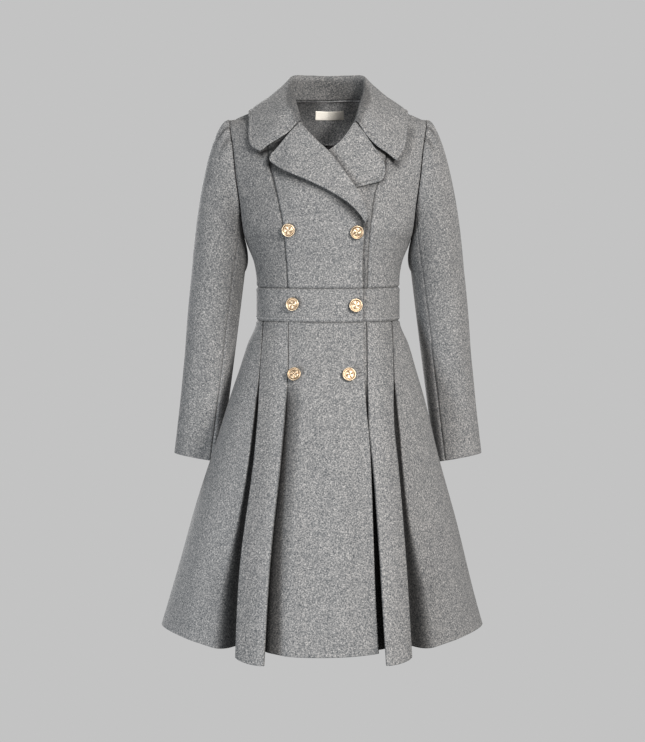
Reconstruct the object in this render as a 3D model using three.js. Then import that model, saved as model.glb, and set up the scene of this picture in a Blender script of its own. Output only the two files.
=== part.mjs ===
// A double-breasted a-line coat of grey wool, filled out as if worn, in millimetres.
// The origin is the middle of the wearer's shoulders at the base of the neck, +Z is up and the
// front faces -Y. The wearer's right side is at -X. Every piece is a thin closed wall of cloth.
import * as THREE from 'three';

// Driving dimensions
const CLOTH = 2.2;
const SEAM_GAP = 0.3;
const BODY_POWER = 2.2;
// Where the body's section turns from rounded to straight over the chest, and to flatter by the hem
const CHEST_BLEND = { fromZ: -245, span: 95 };
const FLARE_BLEND = { power: 1.55, fromZ: -620, span: 340 };
const SIDE_SEAM_ANGLE = 1e-4;
const SIDE_Y = 4;
const SHOULDER = { neckX: 72, neckZ: 8, tipX: 175.5, tipZ: -29 };
const SHOULDER_ROUNDING = { front: 90, back: 60 };
const ARMHOLE = { middleZ: -137, halfHeight: 108, frontReach: 56, backReach: 60 };
const BAND = { topZ: -328, bottomZ: -388, frontDipTop: 8, frontDipBottom: 7 };
const SLIT_TOP = -490;
const HEM = {
  side: -936, fold: -955, pleatOuter: -960, pleatInner: -968.5,
  centreEnd: -953, underFold: -950, underlap: -947, lowest: -959, sag: 5,
};
const UNDERLAP_X = -50;
// The right front's lift off the body: how high, from where it starts, and over what span it grows
const OVERLAP = {
  lift: 2.8, startX: -92, span: 36, neckZ: -20, neckSpan: 38,
  breakLift: 9, breakZ: -214, breakSpan: 34, skirtX: -96, skirtSpan: 20,
};
const PLEAT = {
  outerLift: 22, innerLift: 34, opening: 1.2, outerDepth: 55, innerDepth: 45, allowance: 6,
};
// Radius of the folds at the top of the skirt and by the hem
const FOLD = { top: 3.2, side: 11, centre: 6, pleat: 4 };
// How far the panels beside a slit dip behind it by the hem, and how soon they rise again
const RECESS = { side: 7, centre: 13, under: 4, fade: 14 };
// How far each fold and return leans from its slit edge, at the top and more by the hem
const RETURN = {
  gap: 2.8, sideGap: 2.6, outerLean: 27, sideLean: 24.5, innerLean: 10, endLean: 8, centreLean: 4,
  underLean: 22,
};
const LAYER = CLOTH + SEAM_GAP;
const BUTTON = { radius: 12, rim: 1.7, plate: 2.2, crown: 3.4, shankRadius: 3.4, shank: 3 };

// Half width, front depth and back depth of the body at each height, and the hem's sway to the right
const BODY = [
  { z: 20, half: 175.5, front: 76, back: 76, sway: 0 },
  { z: -29, half: 175.5, front: 86, back: 82, sway: 0 },
  { z: -87, half: 168, front: 101, back: 96, sway: 0 },
  { z: -141, half: 162, front: 115, back: 102, sway: 0 },
  { z: -191, half: 155, front: 119, back: 102, sway: 0 },
  { z: -245, half: 147, front: 112, back: 97, sway: 0 },
  { z: -285, half: 132, front: 103, back: 90, sway: 0 },
  { z: -328, half: 127, front: 98, back: 85, sway: 0 },
  { z: -388, half: 127, front: 98, back: 85, sway: 0 },
  { z: -431, half: 143, front: 110, back: 97, sway: 0 },
  { z: -475, half: 156.6, front: 124, back: 110, sway: -0.5 },
  { z: -539, half: 177, front: 141, back: 127, sway: -2 },
  { z: -669, half: 211.5, front: 174, back: 158, sway: -6 },
  { z: -755, half: 236, front: 194, back: 176, sway: -8.6 },
  { z: -842, half: 260, front: 213, back: 194, sway: -10.2 },
  { z: -980, half: 301, front: 240, back: 221, sway: -10.8 },
];

// Free front edge and neck edge of the overlapping right front, from the neck down to the hem
const RIGHT_FRONT_EDGE = [
  { z: 8, x: -72 }, { z: -20, x: -61 }, { z: -44, x: -49.6 }, { z: -79, x: -23.5 },
  { z: -103, x: 0.4 }, { z: -149, x: 33 }, { z: -177.5, x: 51 }, { z: -212, x: 66.5 },
  { z: -222, x: 66 }, { z: -245, x: 61.5 }, { z: -400, x: 60.6 }, { z: -500, x: 62 },
  { z: -560, x: 66 }, { z: -600, x: 70 }, { z: -674, x: 73 }, { z: -764, x: 75.5 },
  { z: -873, x: 79 }, { z: -980, x: 85 },
];
const LEFT_FRONT_EDGE = [
  { z: 8, x: 72 }, { z: -20, x: 61 }, { z: -44, x: 49 }, { z: -79, x: 26 }, { z: -103, x: -3.3 },
  { z: -127, x: -22 }, { z: -165, x: -42 }, { z: -212, x: UNDERLAP_X }, { z: -980, x: UNDERLAP_X },
];
// Princess seams of the front, as distances from the middle, and of the back
const PRINCESS = [
  { z: 20, right: 112, left: 112, back: 96 }, { z: -10, right: 112, left: 112, back: 96 },
  { z: -120, right: 102, left: 99, back: 92 }, { z: -170, right: 90, left: 82, back: 84 },
  { z: -225, right: 79, left: 74, back: 74 }, { z: -345, right: 69, left: 68.5, back: 66 },
];
// Skirt seams and slit edges as distances from the swayed middle: the side panel's fold,
// the pleat panel's outer and inner edges
const RIGHT_PLEAT = [
  { z: -380, fold: 115.2, outer: 112.6, inner: 70.5 }, { z: -490, fold: 121, outer: 118.2, inner: 70 },
  { z: -544, fold: 125.5, outer: 119, inner: 71.6 }, { z: -586, fold: 129, outer: 120.7, inner: 73.6 },
  { z: -642, fold: 134.5, outer: 124, inner: 76.8 }, { z: -800, fold: 156, outer: 139.5, inner: 88.2 },
  { z: -855, fold: 163.4, outer: 142.6, inner: 91 }, { z: -980, fold: 175, outer: 146.2, inner: 96.5 },
];
const LEFT_PLEAT = [
  { z: -380, fold: 113.8, outer: 111.2, inner: 68.5 }, { z: -490, fold: 117, outer: 114.2, inner: 69.5 },
  { z: -544, fold: 122.4, outer: 115.2, inner: 71.4 }, { z: -586, fold: 128.2, outer: 118, inner: 74 },
  { z: -642, fold: 134.5, outer: 125.4, inner: 81.4 }, { z: -800, fold: 157.5, outer: 141.5, inner: 96.5 },
  { z: -855, fold: 166.5, outer: 145.4, inner: 100 }, { z: -980, fold: 181, outer: 152.5, inner: 107.5 },
];
const BACK_PLEAT = [
  { z: -380, fold: 112.6, outer: 110, inner: 66 }, { z: -490, fold: 118.4, outer: 115.6, inner: 68 },
  { z: -586, fold: 127, outer: 119, inner: 72.5 }, { z: -642, fold: 134, outer: 124.4, inner: 78 },
  { z: -800, fold: 155, outer: 140, inner: 91 }, { z: -980, fold: 177, outer: 148.5, inner: 101 },
];
// Sleeve below the cap: middle, half width, half depth, how far the middle swings back, and how much
// higher the outer side of a ring is than its middle
const SLEEVE = [
  { z: -300, x: 197.5, wide: 47, deep: 60, y: 6, tilt: 0 },
  { z: -366, x: 205, wide: 46, deep: 55, y: 11, tilt: 2 },
  { z: -453, x: 215, wide: 44, deep: 50, y: 27, tilt: 4.5 },
  { z: -539, x: 226, wide: 42.5, deep: 46, y: 49, tilt: 6.5 },
  { z: -638.5, x: 240, wide: 42, deep: 43.5, y: 79, tilt: 8 },
];
const SLEEVE_CAP = {
  gap: 0.5, clearance: 2.7, endZ: -300, puff: { right: 31, left: 26 }, flat: 1, under: 12, lift: 3,
  fall: 18, drop: 112, spread: 9,
  tucks: 4, tuckDepth: 1.8, tuckShare: 0.45, tuckFrom: 0.35, tuckSpan: 0.4,
};
const SLEEVE_SEAM_ANGLE = THREE.MathUtils.degToRad(128);

// Collar sections from the back middle to the front end: where the neck seam is, by its distance
// from the middle on the back and by its height on the front, then roll, fall and outer edge
const COLLAR_BACK = [
  { neckX: 0, roll: [0, 62, 60.5], fall: [0, 83, 22], edge: [0, 93, -30] },
  { neckX: 39, roll: [36, 57, 60], fall: [45, 78, 21], edge: [58, 88, -31] },
  { neckX: 64, roll: [64, 32, 55.5], fall: [86, 50, 20], edge: [112, 64, -27] },
  { neckX: 72, roll: [67.5, 5, 38], fall: [106, 12, 14.5], edge: [141, 10, -11.5] },
];
const COLLAR_RIGHT_END = [
  { neckZ: -2, roll: [64, -30, 14], fall: [104, -36, -8], edge: [141, -31, -28] },
  { neckZ: -18, roll: [57, -68, -10], fall: [94, -79, -44], edge: [136, -74, -82] },
  { neckZ: -41, roll: [49, -91, -41.5], fall: [86, -97, -73.5], edge: [119, -91, -95] },
];
const COLLAR_LEFT_END = [
  { neckZ: -2, roll: [64, -30, 14], fall: [104, -36, -8], edge: [142, -31, -29] },
  { neckZ: -18, roll: [57, -68, -9], fall: [94, -79, -48], edge: [133.5, -79, -88] },
  { neckZ: -39, roll: [48, -90, -39.5], fall: [86, -98, -85], edge: [119.5, -94, -112] },
];
const NECK_SEAM = { inward: 1.9, up: 1.3 };
// The collar's roll as a turn of this radius, the stand's hollow and the fall's rounding
const COLLAR_TURN = { radius: 3.2, hollow: 0.8, upper: 2.4, lower: 1 };
// Lapels from the gorge down: roll line and free edge in the front view, and how far the edge lifts
const RIGHT_LAPEL = [
  { rollX: -48.6, rollZ: -47.5, edgeX: -95, edgeZ: -100, lift: 8 },
  { rollX: -38, rollZ: -62, edgeX: -98.5, edgeZ: -111, lift: 10 },
  { rollX: -23.5, rollZ: -79, edgeX: -85, edgeZ: -123.5, lift: 11 },
  { rollX: 0.4, rollZ: -103, edgeX: -59, edgeZ: -138, lift: 10 },
  { rollX: 17, rollZ: -126, edgeX: -29, edgeZ: -152.5, lift: 9 },
  { rollX: 33, rollZ: -149, edgeX: 7.6, edgeZ: -172.5, lift: 8 },
  { rollX: 51, rollZ: -177.5, edgeX: 35, edgeZ: -191, lift: 6.5 },
  { rollX: 61, rollZ: -199, edgeX: 51, edgeZ: -206, lift: 5.5 },
  { rollX: 66, rollZ: -217, edgeX: 62.5, edgeZ: -222, lift: 5 },
];
const LEFT_LAPEL = [
  { rollX: 47.6, rollZ: -47, edgeX: 90, edgeZ: -110, lift: 8 },
  { rollX: 37.5, rollZ: -63, edgeX: 95, edgeZ: -123, lift: 10 },
  { rollX: 26, rollZ: -79, edgeX: 91.3, edgeZ: -146, lift: 9 },
  { rollX: 12, rollZ: -92, edgeX: 67, edgeZ: -156, lift: 6.5 },
  { rollX: -3.3, rollZ: -103, edgeX: 42, edgeZ: -163, lift: 4.8 },
  { rollX: -13, rollZ: -113, edgeX: 14, edgeZ: -170, lift: 4.8 },
  { rollX: -25, rollZ: -131, edgeX: -10, edgeZ: -176, lift: 4.8 },
];
const LAPEL_TURN = 2.6;
// How far a front stops short of its roll line, under the turn of the lapel
const ROLL_SETBACK = { depth: 3, fromZ: -226, span: 12 };
const BACK_NECK_Z = 14;
// Button middles in the front view, and how deep each sits into the cloth's curve
const BUTTONS = [
  { name: 'button_top_right', x: -67.4, z: -234, seat: 1.4 },
  { name: 'button_top_left', x: 48.5, z: -237.7, seat: 0.9 },
  { name: 'button_waist_right', x: -59.5, z: -363.4, seat: 0 },
  { name: 'button_waist_left', x: 46.1, z: -365.7, seat: 0 },
  { name: 'button_skirt_right', x: -57, z: -487.5, seat: 0 },
  { name: 'button_skirt_left', x: 35, z: -488, seat: 0 },
];
// Facing and label, as rows and places on the back panel's own grid
const FACING = { rows: [0.1, 1, 2, 3, 3.3], places: [2, 3, 4, 5, 6, 7, 8, 9, 10], ease: 0.1 };
const LABEL = { rows: [1.5, 2, 2.2], places: [4.5, 5, 6, 7, 7.9], wall: 0.8 };

// Materials
const wool = new THREE.MeshStandardMaterial({ color: 0x8f8e8d, roughness: 0.95, metalness: 0 });
const facingWool = new THREE.MeshStandardMaterial({ color: 0x6f6e6e, roughness: 0.95, metalness: 0 });
const gold = new THREE.MeshStandardMaterial({ color: 0xc9b78f, roughness: 0.35, metalness: 0.9 });
const cream = new THREE.MeshStandardMaterial({ color: 0xddd6c6, roughness: 0.8, metalness: 0 });

const coat = new THREE.Group();

// Smooth value of one column of a table whose rows run downward in z
function column(rows, name, z) {
  const last = rows.length - 1;
  if (z >= rows[0].z) return rows[0][name];
  if (z <= rows[last].z) return rows[last][name];
  let k = 0;
  while (rows[k + 1].z > z) k += 1;
  const slope = (a, b) => (rows[b][name] - rows[a][name]) / (rows[b].z - rows[a].z);
  const span = rows[k + 1].z - rows[k].z;
  const chord = slope(k, k + 1);
  const lean = (other) => (other * chord > 0 ? (other + chord) / 2 : 0);
  const before = k > 0 ? lean(slope(k - 1, k)) : chord;
  const after = k + 1 < last ? lean(slope(k + 1, k + 2)) : chord;
  const t = (z - rows[k].z) / span;
  const keep = 1 - t;
  return rows[k][name] * keep * keep * (1 + 2 * t) + rows[k + 1][name] * t * t * (3 - 2 * t)
    + span * t * keep * (before * keep - after * t);
}

const mix = (a, b, t) => a + (b - a) * t;
const smooth = (t) => {
  const s = THREE.MathUtils.clamp(t, 0, 1);
  return s * s * (3 - 2 * s);
};

// Height of the shoulder seam at a distance from the middle
function shoulderZ(x) {
  const { neckX, neckZ, tipX, tipZ } = SHOULDER;
  return neckZ + (Math.abs(x) - neckX) * (tipZ - neckZ) / (tipX - neckX);
}

// Angle round the body, 0 at the left side and a quarter turn at the front middle, for a given x
function angleAt(x, z, side) {
  const share = THREE.MathUtils.clamp((x - column(BODY, 'sway', z)) / column(BODY, 'half', z), -1, 1);
  const angle = Math.acos(Math.sign(share) * Math.abs(share) ** (BODY_POWER / 2));
  return side === 'front' ? angle : -Math.max(angle, SIDE_SEAM_ANGLE);
}

// The body's surface: a superellipse below the armhole, and above it a chest or back that runs
// from the armhole edge to the middle and rounds over into the shoulder seam
function bodyPoint(angle, z) {
  const front = Math.sin(angle) >= 0;
  const cosine = Math.cos(angle);
  const x = column(BODY, 'half', z) * Math.sign(cosine) * Math.abs(cosine) ** (2 / BODY_POWER);
  const level = THREE.MathUtils.clamp((z - ARMHOLE.middleZ) / ARMHOLE.halfHeight, -1, 1);
  const reach = front ? -ARMHOLE.frontReach : ARMHOLE.backReach;
  const edgeY = SIDE_Y + reach * Math.sqrt(1 - level * level);
  const depth = front ? -column(BODY, 'front', z) : column(BODY, 'back', z);
  const rounding = front ? SHOULDER_ROUNDING.front : SHOULDER_ROUNDING.back;
  const below = THREE.MathUtils.clamp((shoulderZ(x) - z) / rounding, 0, 1);
  const middleY = SIDE_Y + (depth - SIDE_Y) * Math.sqrt(1 - (1 - below) ** 2);
  const chest = smooth((z - CHEST_BLEND.fromZ) / CHEST_BLEND.span);
  const flare = smooth((FLARE_BLEND.fromZ - z) / FLARE_BLEND.span);
  const power = mix(mix(BODY_POWER, 1, chest), FLARE_BLEND.power, flare);
  const y = edgeY + (middleY - edgeY) * Math.abs(Math.sin(angle)) ** (2 / power);
  return new THREE.Vector3(x + column(BODY, 'sway', z), y, z);
}

// The horizontal way out of the body at an angle
function outward(angle, z) {
  const step = 0.01;
  const along = bodyPoint(angle + step, z).sub(bodyPoint(angle - step, z));
  return new THREE.Vector3(-along.y, along.x, 0).normalize();
}

// The way out of the body square to its surface
function squareOut(angle, z) {
  const step = 3;
  const across = bodyPoint(angle + 0.01, z).sub(bodyPoint(angle - 0.01, z));
  const down = bodyPoint(angle, z - step).sub(bodyPoint(angle, z + step));
  return across.cross(down).normalize();
}

const lifted = (angle, z, lift) => bodyPoint(angle, z).addScaledVector(outward(angle, z), lift);

// Turns a grid of points on the middle of the cloth into a closed wall. Where a neighbour continues
// the surface, point() also answers one step past the border, so both walls lean the same way there.
function wall({
  name, material = wool, rows, columns, point, continues = {}, thickness = CLOTH, gap = SEAM_GAP,
}) {
  const grid = [];
  const known = (i, j) => (i >= 0 || continues.top) && (i <= rows || continues.bottom)
    && (j >= 0 || continues.start) && (j <= columns || continues.end);
  const inside = (i, j) => [THREE.MathUtils.clamp(i, 0, rows), THREE.MathUtils.clamp(j, 0, columns)];
  const at = (i, j) => {
    if (known(i, j)) return point(i, j);
    const [a, b] = inside(i, j);
    return point(a, b).multiplyScalar(2).sub(point(2 * a - i, 2 * b - j));
  };
  const bisector = (before, here, after) => after.clone().sub(here).normalize()
    .add(here.clone().sub(before).normalize()).normalize();
  for (let i = 0; i <= rows; i += 1) {
    for (let j = 0; j <= columns; j += 1) {
      const here = point(i, j);
      const down = bisector(at(i - 1, j), here, at(i + 1, j));
      const across = bisector(at(i, j - 1), here, at(i, j + 1));
      const normal = across.clone().cross(down).normalize();
      const inset = new THREE.Vector3();
      if (i === 0) inset.addScaledVector(down, gap / 2);
      if (i === rows) inset.addScaledVector(down, -gap / 2);
      if (j === 0) inset.addScaledVector(across, gap / 2);
      if (j === columns) inset.addScaledVector(across, -gap / 2);
      grid.push({ here: here.add(inset), normal });
    }
  }
  const positions = [];
  for (const face of [1, -1]) {
    for (const { here, normal } of grid) {
      positions.push(...here.clone().addScaledVector(normal, face * thickness / 2).toArray());
    }
  }
  addMesh(name, material, positions, wallTriangles(rows, columns));
}

// Triangles of a wall: its two faces and the strip round its border
function wallTriangles(rows, columns) {
  const width = columns + 1;
  const layer = width * (rows + 1);
  const triangles = [];
  for (let i = 0; i < rows; i += 1) {
    for (let j = 0; j < columns; j += 1) {
      const a = i * width + j;
      const b = a + 1;
      const c = a + width;
      const d = c + 1;
      triangles.push([a, c, b], [b, c, d]);
      triangles.push([a + layer, b + layer, c + layer], [b + layer, d + layer, c + layer]);
    }
  }
  const border = [];
  for (let j = 0; j < columns; j += 1) border.push(j);
  for (let i = 0; i < rows; i += 1) border.push(i * width + columns);
  for (let j = columns; j > 0; j -= 1) border.push(rows * width + j);
  for (let i = rows; i > 0; i -= 1) border.push(i * width);
  border.forEach((a, k) => {
    const b = border[(k + 1) % border.length];
    triangles.push([a, b, a + layer], [b, b + layer, a + layer]);
  });
  return triangles;
}

// Adds a mesh, turned so that its faces point out
function addMesh(name, material, positions, triangles) {
  const corner = (k) => new THREE.Vector3().fromArray(positions, 3 * k);
  let volume = 0;
  for (const [a, b, c] of triangles) volume += corner(a).dot(corner(b).cross(corner(c)));
  const index = triangles.flatMap(([a, b, c]) => (volume > 0 ? [a, b, c] : [a, c, b]));
  const geometry = new THREE.BufferGeometry();
  geometry.setAttribute('position', new THREE.Float32BufferAttribute(positions, 3));
  geometry.setIndex(index);
  const mesh = new THREE.Mesh(geometry, material);
  mesh.name = name;
  coat.add(mesh);
}

// Heights of the waistband's two seams, which dip a little across the front
const bandTop = (angle) => BAND.topZ - BAND.frontDipTop * Math.max(0, Math.sin(angle));
const bandBottom = (angle) => BAND.bottomZ - BAND.frontDipBottom * Math.max(0, Math.sin(angle));

// How far the right front lies off the body, over the left front and, near the break, its lapel
function overlapLift(x, z) {
  const { lift, startX, span, neckZ, neckSpan, breakLift, breakZ, breakSpan } = OVERLAP;
  const height = mix(lift, breakLift, smooth((z - breakZ) / breakSpan));
  return height * THREE.MathUtils.clamp((neckZ - z) / neckSpan, 0, 1) * smooth((x - startX) / span);
}

// Bodice rows from the shoulder or neck down to the waistband
const BODICE_STEPS = [
  { turn: 0 }, { turn: 28 }, { turn: 56 }, { turn: 85 }, { level: -128 }, { level: -170 },
  { level: -210 }, { level: -245 }, { level: -285 }, { band: true },
];

const PAST_SEAM = 12;

// Height of a bodice row on the column whose x is given at every height
function bodiceZ(step, side, xAt, topZ) {
  if (step.level !== undefined) return step.level;
  const turned = 1 - Math.cos(THREE.MathUtils.degToRad(step.turn));
  let z = topZ(SHOULDER.neckX);
  for (let k = 0; k < 6; k += 1) z = topZ(xAt(z)) - SHOULDER_ROUNDING[side] * turned;
  return z;
}

// The points of a bodice panel between two seams given as x at each height. A row above the first
// lies over the shoulder on the other side, and a row below the last lies on the waistband.
function bodicePoints({ side, from, to, columns, lift = () => 0, topZ = shoulderZ }) {
  const angleOf = (z, share, face) => {
    const a = angleAt(from(z), z, face);
    return a + (angleAt(to(z), z, face) - a) * share;
  };
  return (i, j) => {
    const share = j / columns;
    const over = i < 0;
    const face = over === (side === 'front') ? 'back' : 'front';
    const step = BODICE_STEPS[THREE.MathUtils.clamp(Math.abs(i), 0, BODICE_STEPS.length - 1)];
    const xAt = (z) => bodyPoint(angleOf(z, share, face), z).x;
    let z = step.band ? bandTop(angleOf(BAND.topZ, share, face)) : bodiceZ(step, face, xAt, topZ);
    if (i >= BODICE_STEPS.length) z -= PAST_SEAM;
    const angle = angleOf(z, share, face);
    const base = bodyPoint(angle, z);
    return base.addScaledVector(outward(angle, z), lift(base.x, z));
  };
}

function bodicePanel({ name, columns, continues, ...shape }) {
  const point = bodicePoints({ columns, ...shape });
  const rows = BODICE_STEPS.length - 1;
  wall({ name, rows, columns, point, continues: { top: true, bottom: true, ...continues } });
}

// Height of the back neck edge, which runs into the shoulder seam
function backNeckZ(x) {
  if (Math.abs(x) > SHOULDER.neckX) return shoulderZ(x);
  return mix(BACK_NECK_Z, SHOULDER.neckZ, (Math.abs(x) / SHOULDER.neckX) ** 2);
}

const princess = (name, sign) => (z) => sign * column(PRINCESS, name, z);
const BACK_CENTRE = {
  side: 'back', columns: 12, topZ: backNeckZ, from: princess('back', -1), to: princess('back', 1),
};

function addBodice() {
  const halfAt = (z) => column(BODY, 'half', z);
  const { depth, fromZ, span } = ROLL_SETBACK;
  const shy = (z) => depth * smooth((z - fromZ) / span);
  bodicePanel({
    name: 'front_centre_right', side: 'front', columns: 7, continues: { start: true },
    from: princess('right', -1), to: (z) => column(RIGHT_FRONT_EDGE, 'x', z) - shy(z), lift: overlapLift,
  });
  bodicePanel({
    name: 'front_centre_left', side: 'front', columns: 7, continues: { start: true },
    from: princess('left', 1), to: (z) => column(LEFT_FRONT_EDGE, 'x', z) + shy(z),
  });
  for (const [hand, sign] of [['right', -1], ['left', 1]]) {
    bodicePanel({
      name: `front_side_${hand}`, side: 'front', columns: 5, continues: { start: true },
      from: princess(hand, sign), to: (z) => sign * halfAt(z),
    });
    bodicePanel({
      name: `back_side_${hand}`, side: 'back', columns: 5, continues: { start: true },
      from: princess('back', sign), to: (z) => sign * halfAt(z), topZ: backNeckZ,
    });
  }
  bodicePanel({ name: 'back_centre', continues: { start: true, end: true }, ...BACK_CENTRE });
}

// A waistband piece between two angles
function bandPiece({ name, from, to, columns, lift = () => 0 }) {
  const point = (i, j) => {
    const angle = mix(from, to, j / columns);
    const z = mix(bandTop(angle), bandBottom(angle), i);
    const base = bodyPoint(angle, z);
    return base.addScaledVector(outward(angle, z), lift(base.x, z));
  };
  wall({ name, rows: 1, columns, point, continues: { top: true, bottom: true } });
}

function addWaistband() {
  const middle = (BAND.topZ + BAND.bottomZ) / 2;
  const frontEdge = angleAt(column(RIGHT_FRONT_EDGE, 'x', middle), middle, 'front');
  const underEdge = angleAt(UNDERLAP_X, middle, 'front');
  bandPiece({ name: 'waistband_front_right', from: Math.PI, to: frontEdge, columns: 18, lift: overlapLift });
  bandPiece({ name: 'waistband_front_left', from: 0, to: underEdge, columns: 16 });
  bandPiece({ name: 'waistband_back', from: -Math.PI, to: 0, columns: 20 });
}

// Skirt rows as shares of the way from the waistband to the hem
const SKIRT_STEPS = [0, 0.09, 0.175, 0.24, 0.36, 0.52, 0.76, 1];

// How far a slit has opened, 0 at its top and 1 at the hem
const opened = (z) => THREE.MathUtils.clamp((SLIT_TOP - z) / (SLIT_TOP - HEM.lowest), 0, 1);
const raised = (height) => (s) => height * s ** PLEAT.opening;
const sunk = (depth) => (s) => -depth * s;
const returned = (depth) => (s) => -PLEAT.allowance - (depth - PLEAT.allowance) * s;

// Named corners of the pleats, as the slit opens: distance from the middle, lift off the body, fold
// radius by the hem and height of the hem
const CORNERS = {
  sideFold: { x: (p) => p.fold, lift: sunk(RECESS.side), radius: FOLD.side, hem: HEM.fold },
  sideReturn: {
    x: (p, s) => p.outer + RETURN.sideGap - RETURN.sideLean * s, lift: returned(PLEAT.outerDepth),
    hem: HEM.fold,
  },
  pleatOuterReturn: {
    x: (p, s) => p.outer - RETURN.outerLean * s, lift: returned(PLEAT.outerDepth), hem: HEM.pleatOuter,
  },
  pleatOuter: { x: (p) => p.outer, lift: raised(PLEAT.outerLift), radius: FOLD.pleat, hem: HEM.pleatOuter },
  pleatInner: { x: (p) => p.inner, lift: raised(PLEAT.innerLift), radius: FOLD.pleat, hem: HEM.pleatInner },
  pleatInnerReturn: {
    x: (p, s) => p.inner + RETURN.innerLean * s, lift: returned(PLEAT.innerDepth), hem: HEM.pleatInner,
  },
  centreReturn: {
    x: (p, s) => p.inner - RETURN.gap + RETURN.endLean * s, lift: returned(PLEAT.innerDepth),
    hem: HEM.centreEnd,
  },
  centreFold: {
    x: (p, s) => p.inner - RETURN.gap + RETURN.centreLean * s, lift: sunk(RECESS.centre),
    radius: FOLD.centre, hem: HEM.centreEnd,
  },
  underFold: {
    x: (p, s) => p.inner - RETURN.gap - RETURN.underLean * s, lift: sunk(RECESS.under),
    radius: FOLD.centre, hem: HEM.underFold,
  },
};

// A pleat corner on the skirt at a share of the way down. Its angle is found so that the point lands
// at the corner's distance from the middle once it is lifted.
function cornerPoint(name, table, sign, side, share) {
  const corner = CORNERS[name];
  const top = bandBottom(side === 'front' ? Math.PI / 2 : -1);
  const z = mix(top, corner.hem, share);
  const s = opened(z);
  const [fold, outer, inner] = ['fold', 'outer', 'inner'].map((place) => column(table, place, z));
  const x = column(BODY, 'sway', z) + sign * corner.x({ fold, outer, inner }, s);
  const lift = corner.lift(s);
  let angle = angleAt(x, z, side);
  for (let k = 0; k < 3; k += 1) angle = angleAt(x - outward(angle, z).x * lift, z, side);
  const radius = mix(FOLD.top, corner.radius ?? FOLD.top, s);
  return { angle, lift, radius, hem: corner.hem, point: lifted(angle, z, lift) };
}

// Points of a rounded fold at a corner between two neighbours
function fold(before, { point, radius }, after) {
  const towards = (end) => {
    const way = end.clone().sub(point);
    const reach = Math.min(radius, way.length() * 0.45);
    return point.clone().addScaledVector(way.normalize(), reach);
  };
  const curve = new THREE.QuadraticBezierCurve3(towards(before), point.clone(), towards(after));
  return [0, 0.5, 1].map((t) => curve.getPoint(t));
}

// Points of a smooth face between two stations, left out at both ends
function face(a, b, steps, share, { fade = RECESS.fade, sag = 0, lift = () => 0 } = {}) {
  const points = [];
  for (let k = 1; k < steps; k += 1) {
    const t = k / steps;
    const angle = mix(a.angle, b.angle, t);
    const top = bandBottom(angle);
    const hem = mix(a.hem, b.hem, 1 - (1 - t) ** 2.5) - sag * 4 * t * (1 - t);
    const z = mix(top, hem, share);
    const base = bodyPoint(angle, z);
    const ends = a.lift * (1 - t) ** fade + b.lift * t ** fade;
    points.push(lifted(angle, z, ends + lift(base.x, z)));
  }
  return points;
}

// A skirt piece: each row is a list of points worked out by its own function
function skirtPiece(name, rowAt) {
  const rows = [-SKIRT_STEPS[1], ...SKIRT_STEPS].map(rowAt);
  wall({
    name, rows: SKIRT_STEPS.length - 1, columns: rows[0].length - 1, continues: { top: true },
    point: (i, j) => rows[i + 1][j].clone(),
  });
}

// The share of a row seen from the front: a station at a given x or angle
function station(angleOf, hem, share, lift = () => 0) {
  const first = angleOf(BAND.bottomZ);
  const z = mix(bandBottom(first), hem, share);
  const angle = angleOf(z);
  const base = bodyPoint(angle, z);
  const up = lift(base.x, z);
  return { angle, lift: 0, hem, point: base.addScaledVector(outward(angle, z), up) };
}

const halfway = (a, b) => a.clone().add(b).multiplyScalar(0.5);

function addPleatPanel(name, table, sign, side) {
  skirtPiece(name, (share) => {
    const at = (corner) => cornerPoint(corner, table, sign, side, share);
    const [outerEnd, outer, inner, innerEnd] = [
      at('pleatOuterReturn'), at('pleatOuter'), at('pleatInner'), at('pleatInnerReturn'),
    ];
    return [
      outerEnd.point, halfway(outerEnd.point, outer.point),
      ...fold(outerEnd.point, outer, inner.point),
      ...face(outer, inner, 4, share, { fade: 1 }),
      ...fold(outer.point, inner, innerEnd.point),
      halfway(inner.point, innerEnd.point), innerEnd.point,
    ];
  });
}

function addSidePanel(name, table, sign, side) {
  const seam = (sign > 0 ? 0 : Math.PI) * (side === 'front' ? 1 : -1);
  skirtPiece(name, (share) => {
    const at = (corner) => cornerPoint(corner, table, sign, side, share);
    const [end, edge] = [at('sideReturn'), at('sideFold')];
    const last = station(() => seam, HEM.side, share);
    const flat = face(edge, last, 8, share);
    return [
      end.point, halfway(end.point, edge.point), ...fold(end.point, edge, flat[0]),
      ...flat, last.point,
    ];
  });
}

function addFrontPanel({ name, table, sign, foldName, edgeX, hem, sag, lift }) {
  skirtPiece(name, (share) => {
    const at = (corner) => cornerPoint(corner, table, sign, 'front', share);
    const [end, edge] = [at('centreReturn'), at(foldName)];
    const last = station((z) => angleAt(edgeX(z), z, 'front'), hem, share, lift);
    const flat = face(edge, last, 8, share, { sag, lift });
    return [
      end.point, halfway(end.point, edge.point), ...fold(end.point, edge, flat[0]),
      ...flat, last.point,
    ];
  });
}

function addBackPanel(name, table) {
  skirtPiece(name, (share) => {
    const at = (corner, sign) => cornerPoint(corner, table, sign, 'back', share);
    const [end, edge, otherEdge, otherEnd] = [
      at('centreReturn', -1), at('centreFold', -1), at('centreFold', 1), at('centreReturn', 1),
    ];
    const flat = face(edge, otherEdge, 10, share, { sag: HEM.sag });
    return [
      end.point, halfway(end.point, edge.point), ...fold(end.point, edge, flat[0]), ...flat,
      ...fold(flat[flat.length - 1], otherEdge, otherEnd.point),
      halfway(otherEdge.point, otherEnd.point), otherEnd.point,
    ];
  });
}

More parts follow.
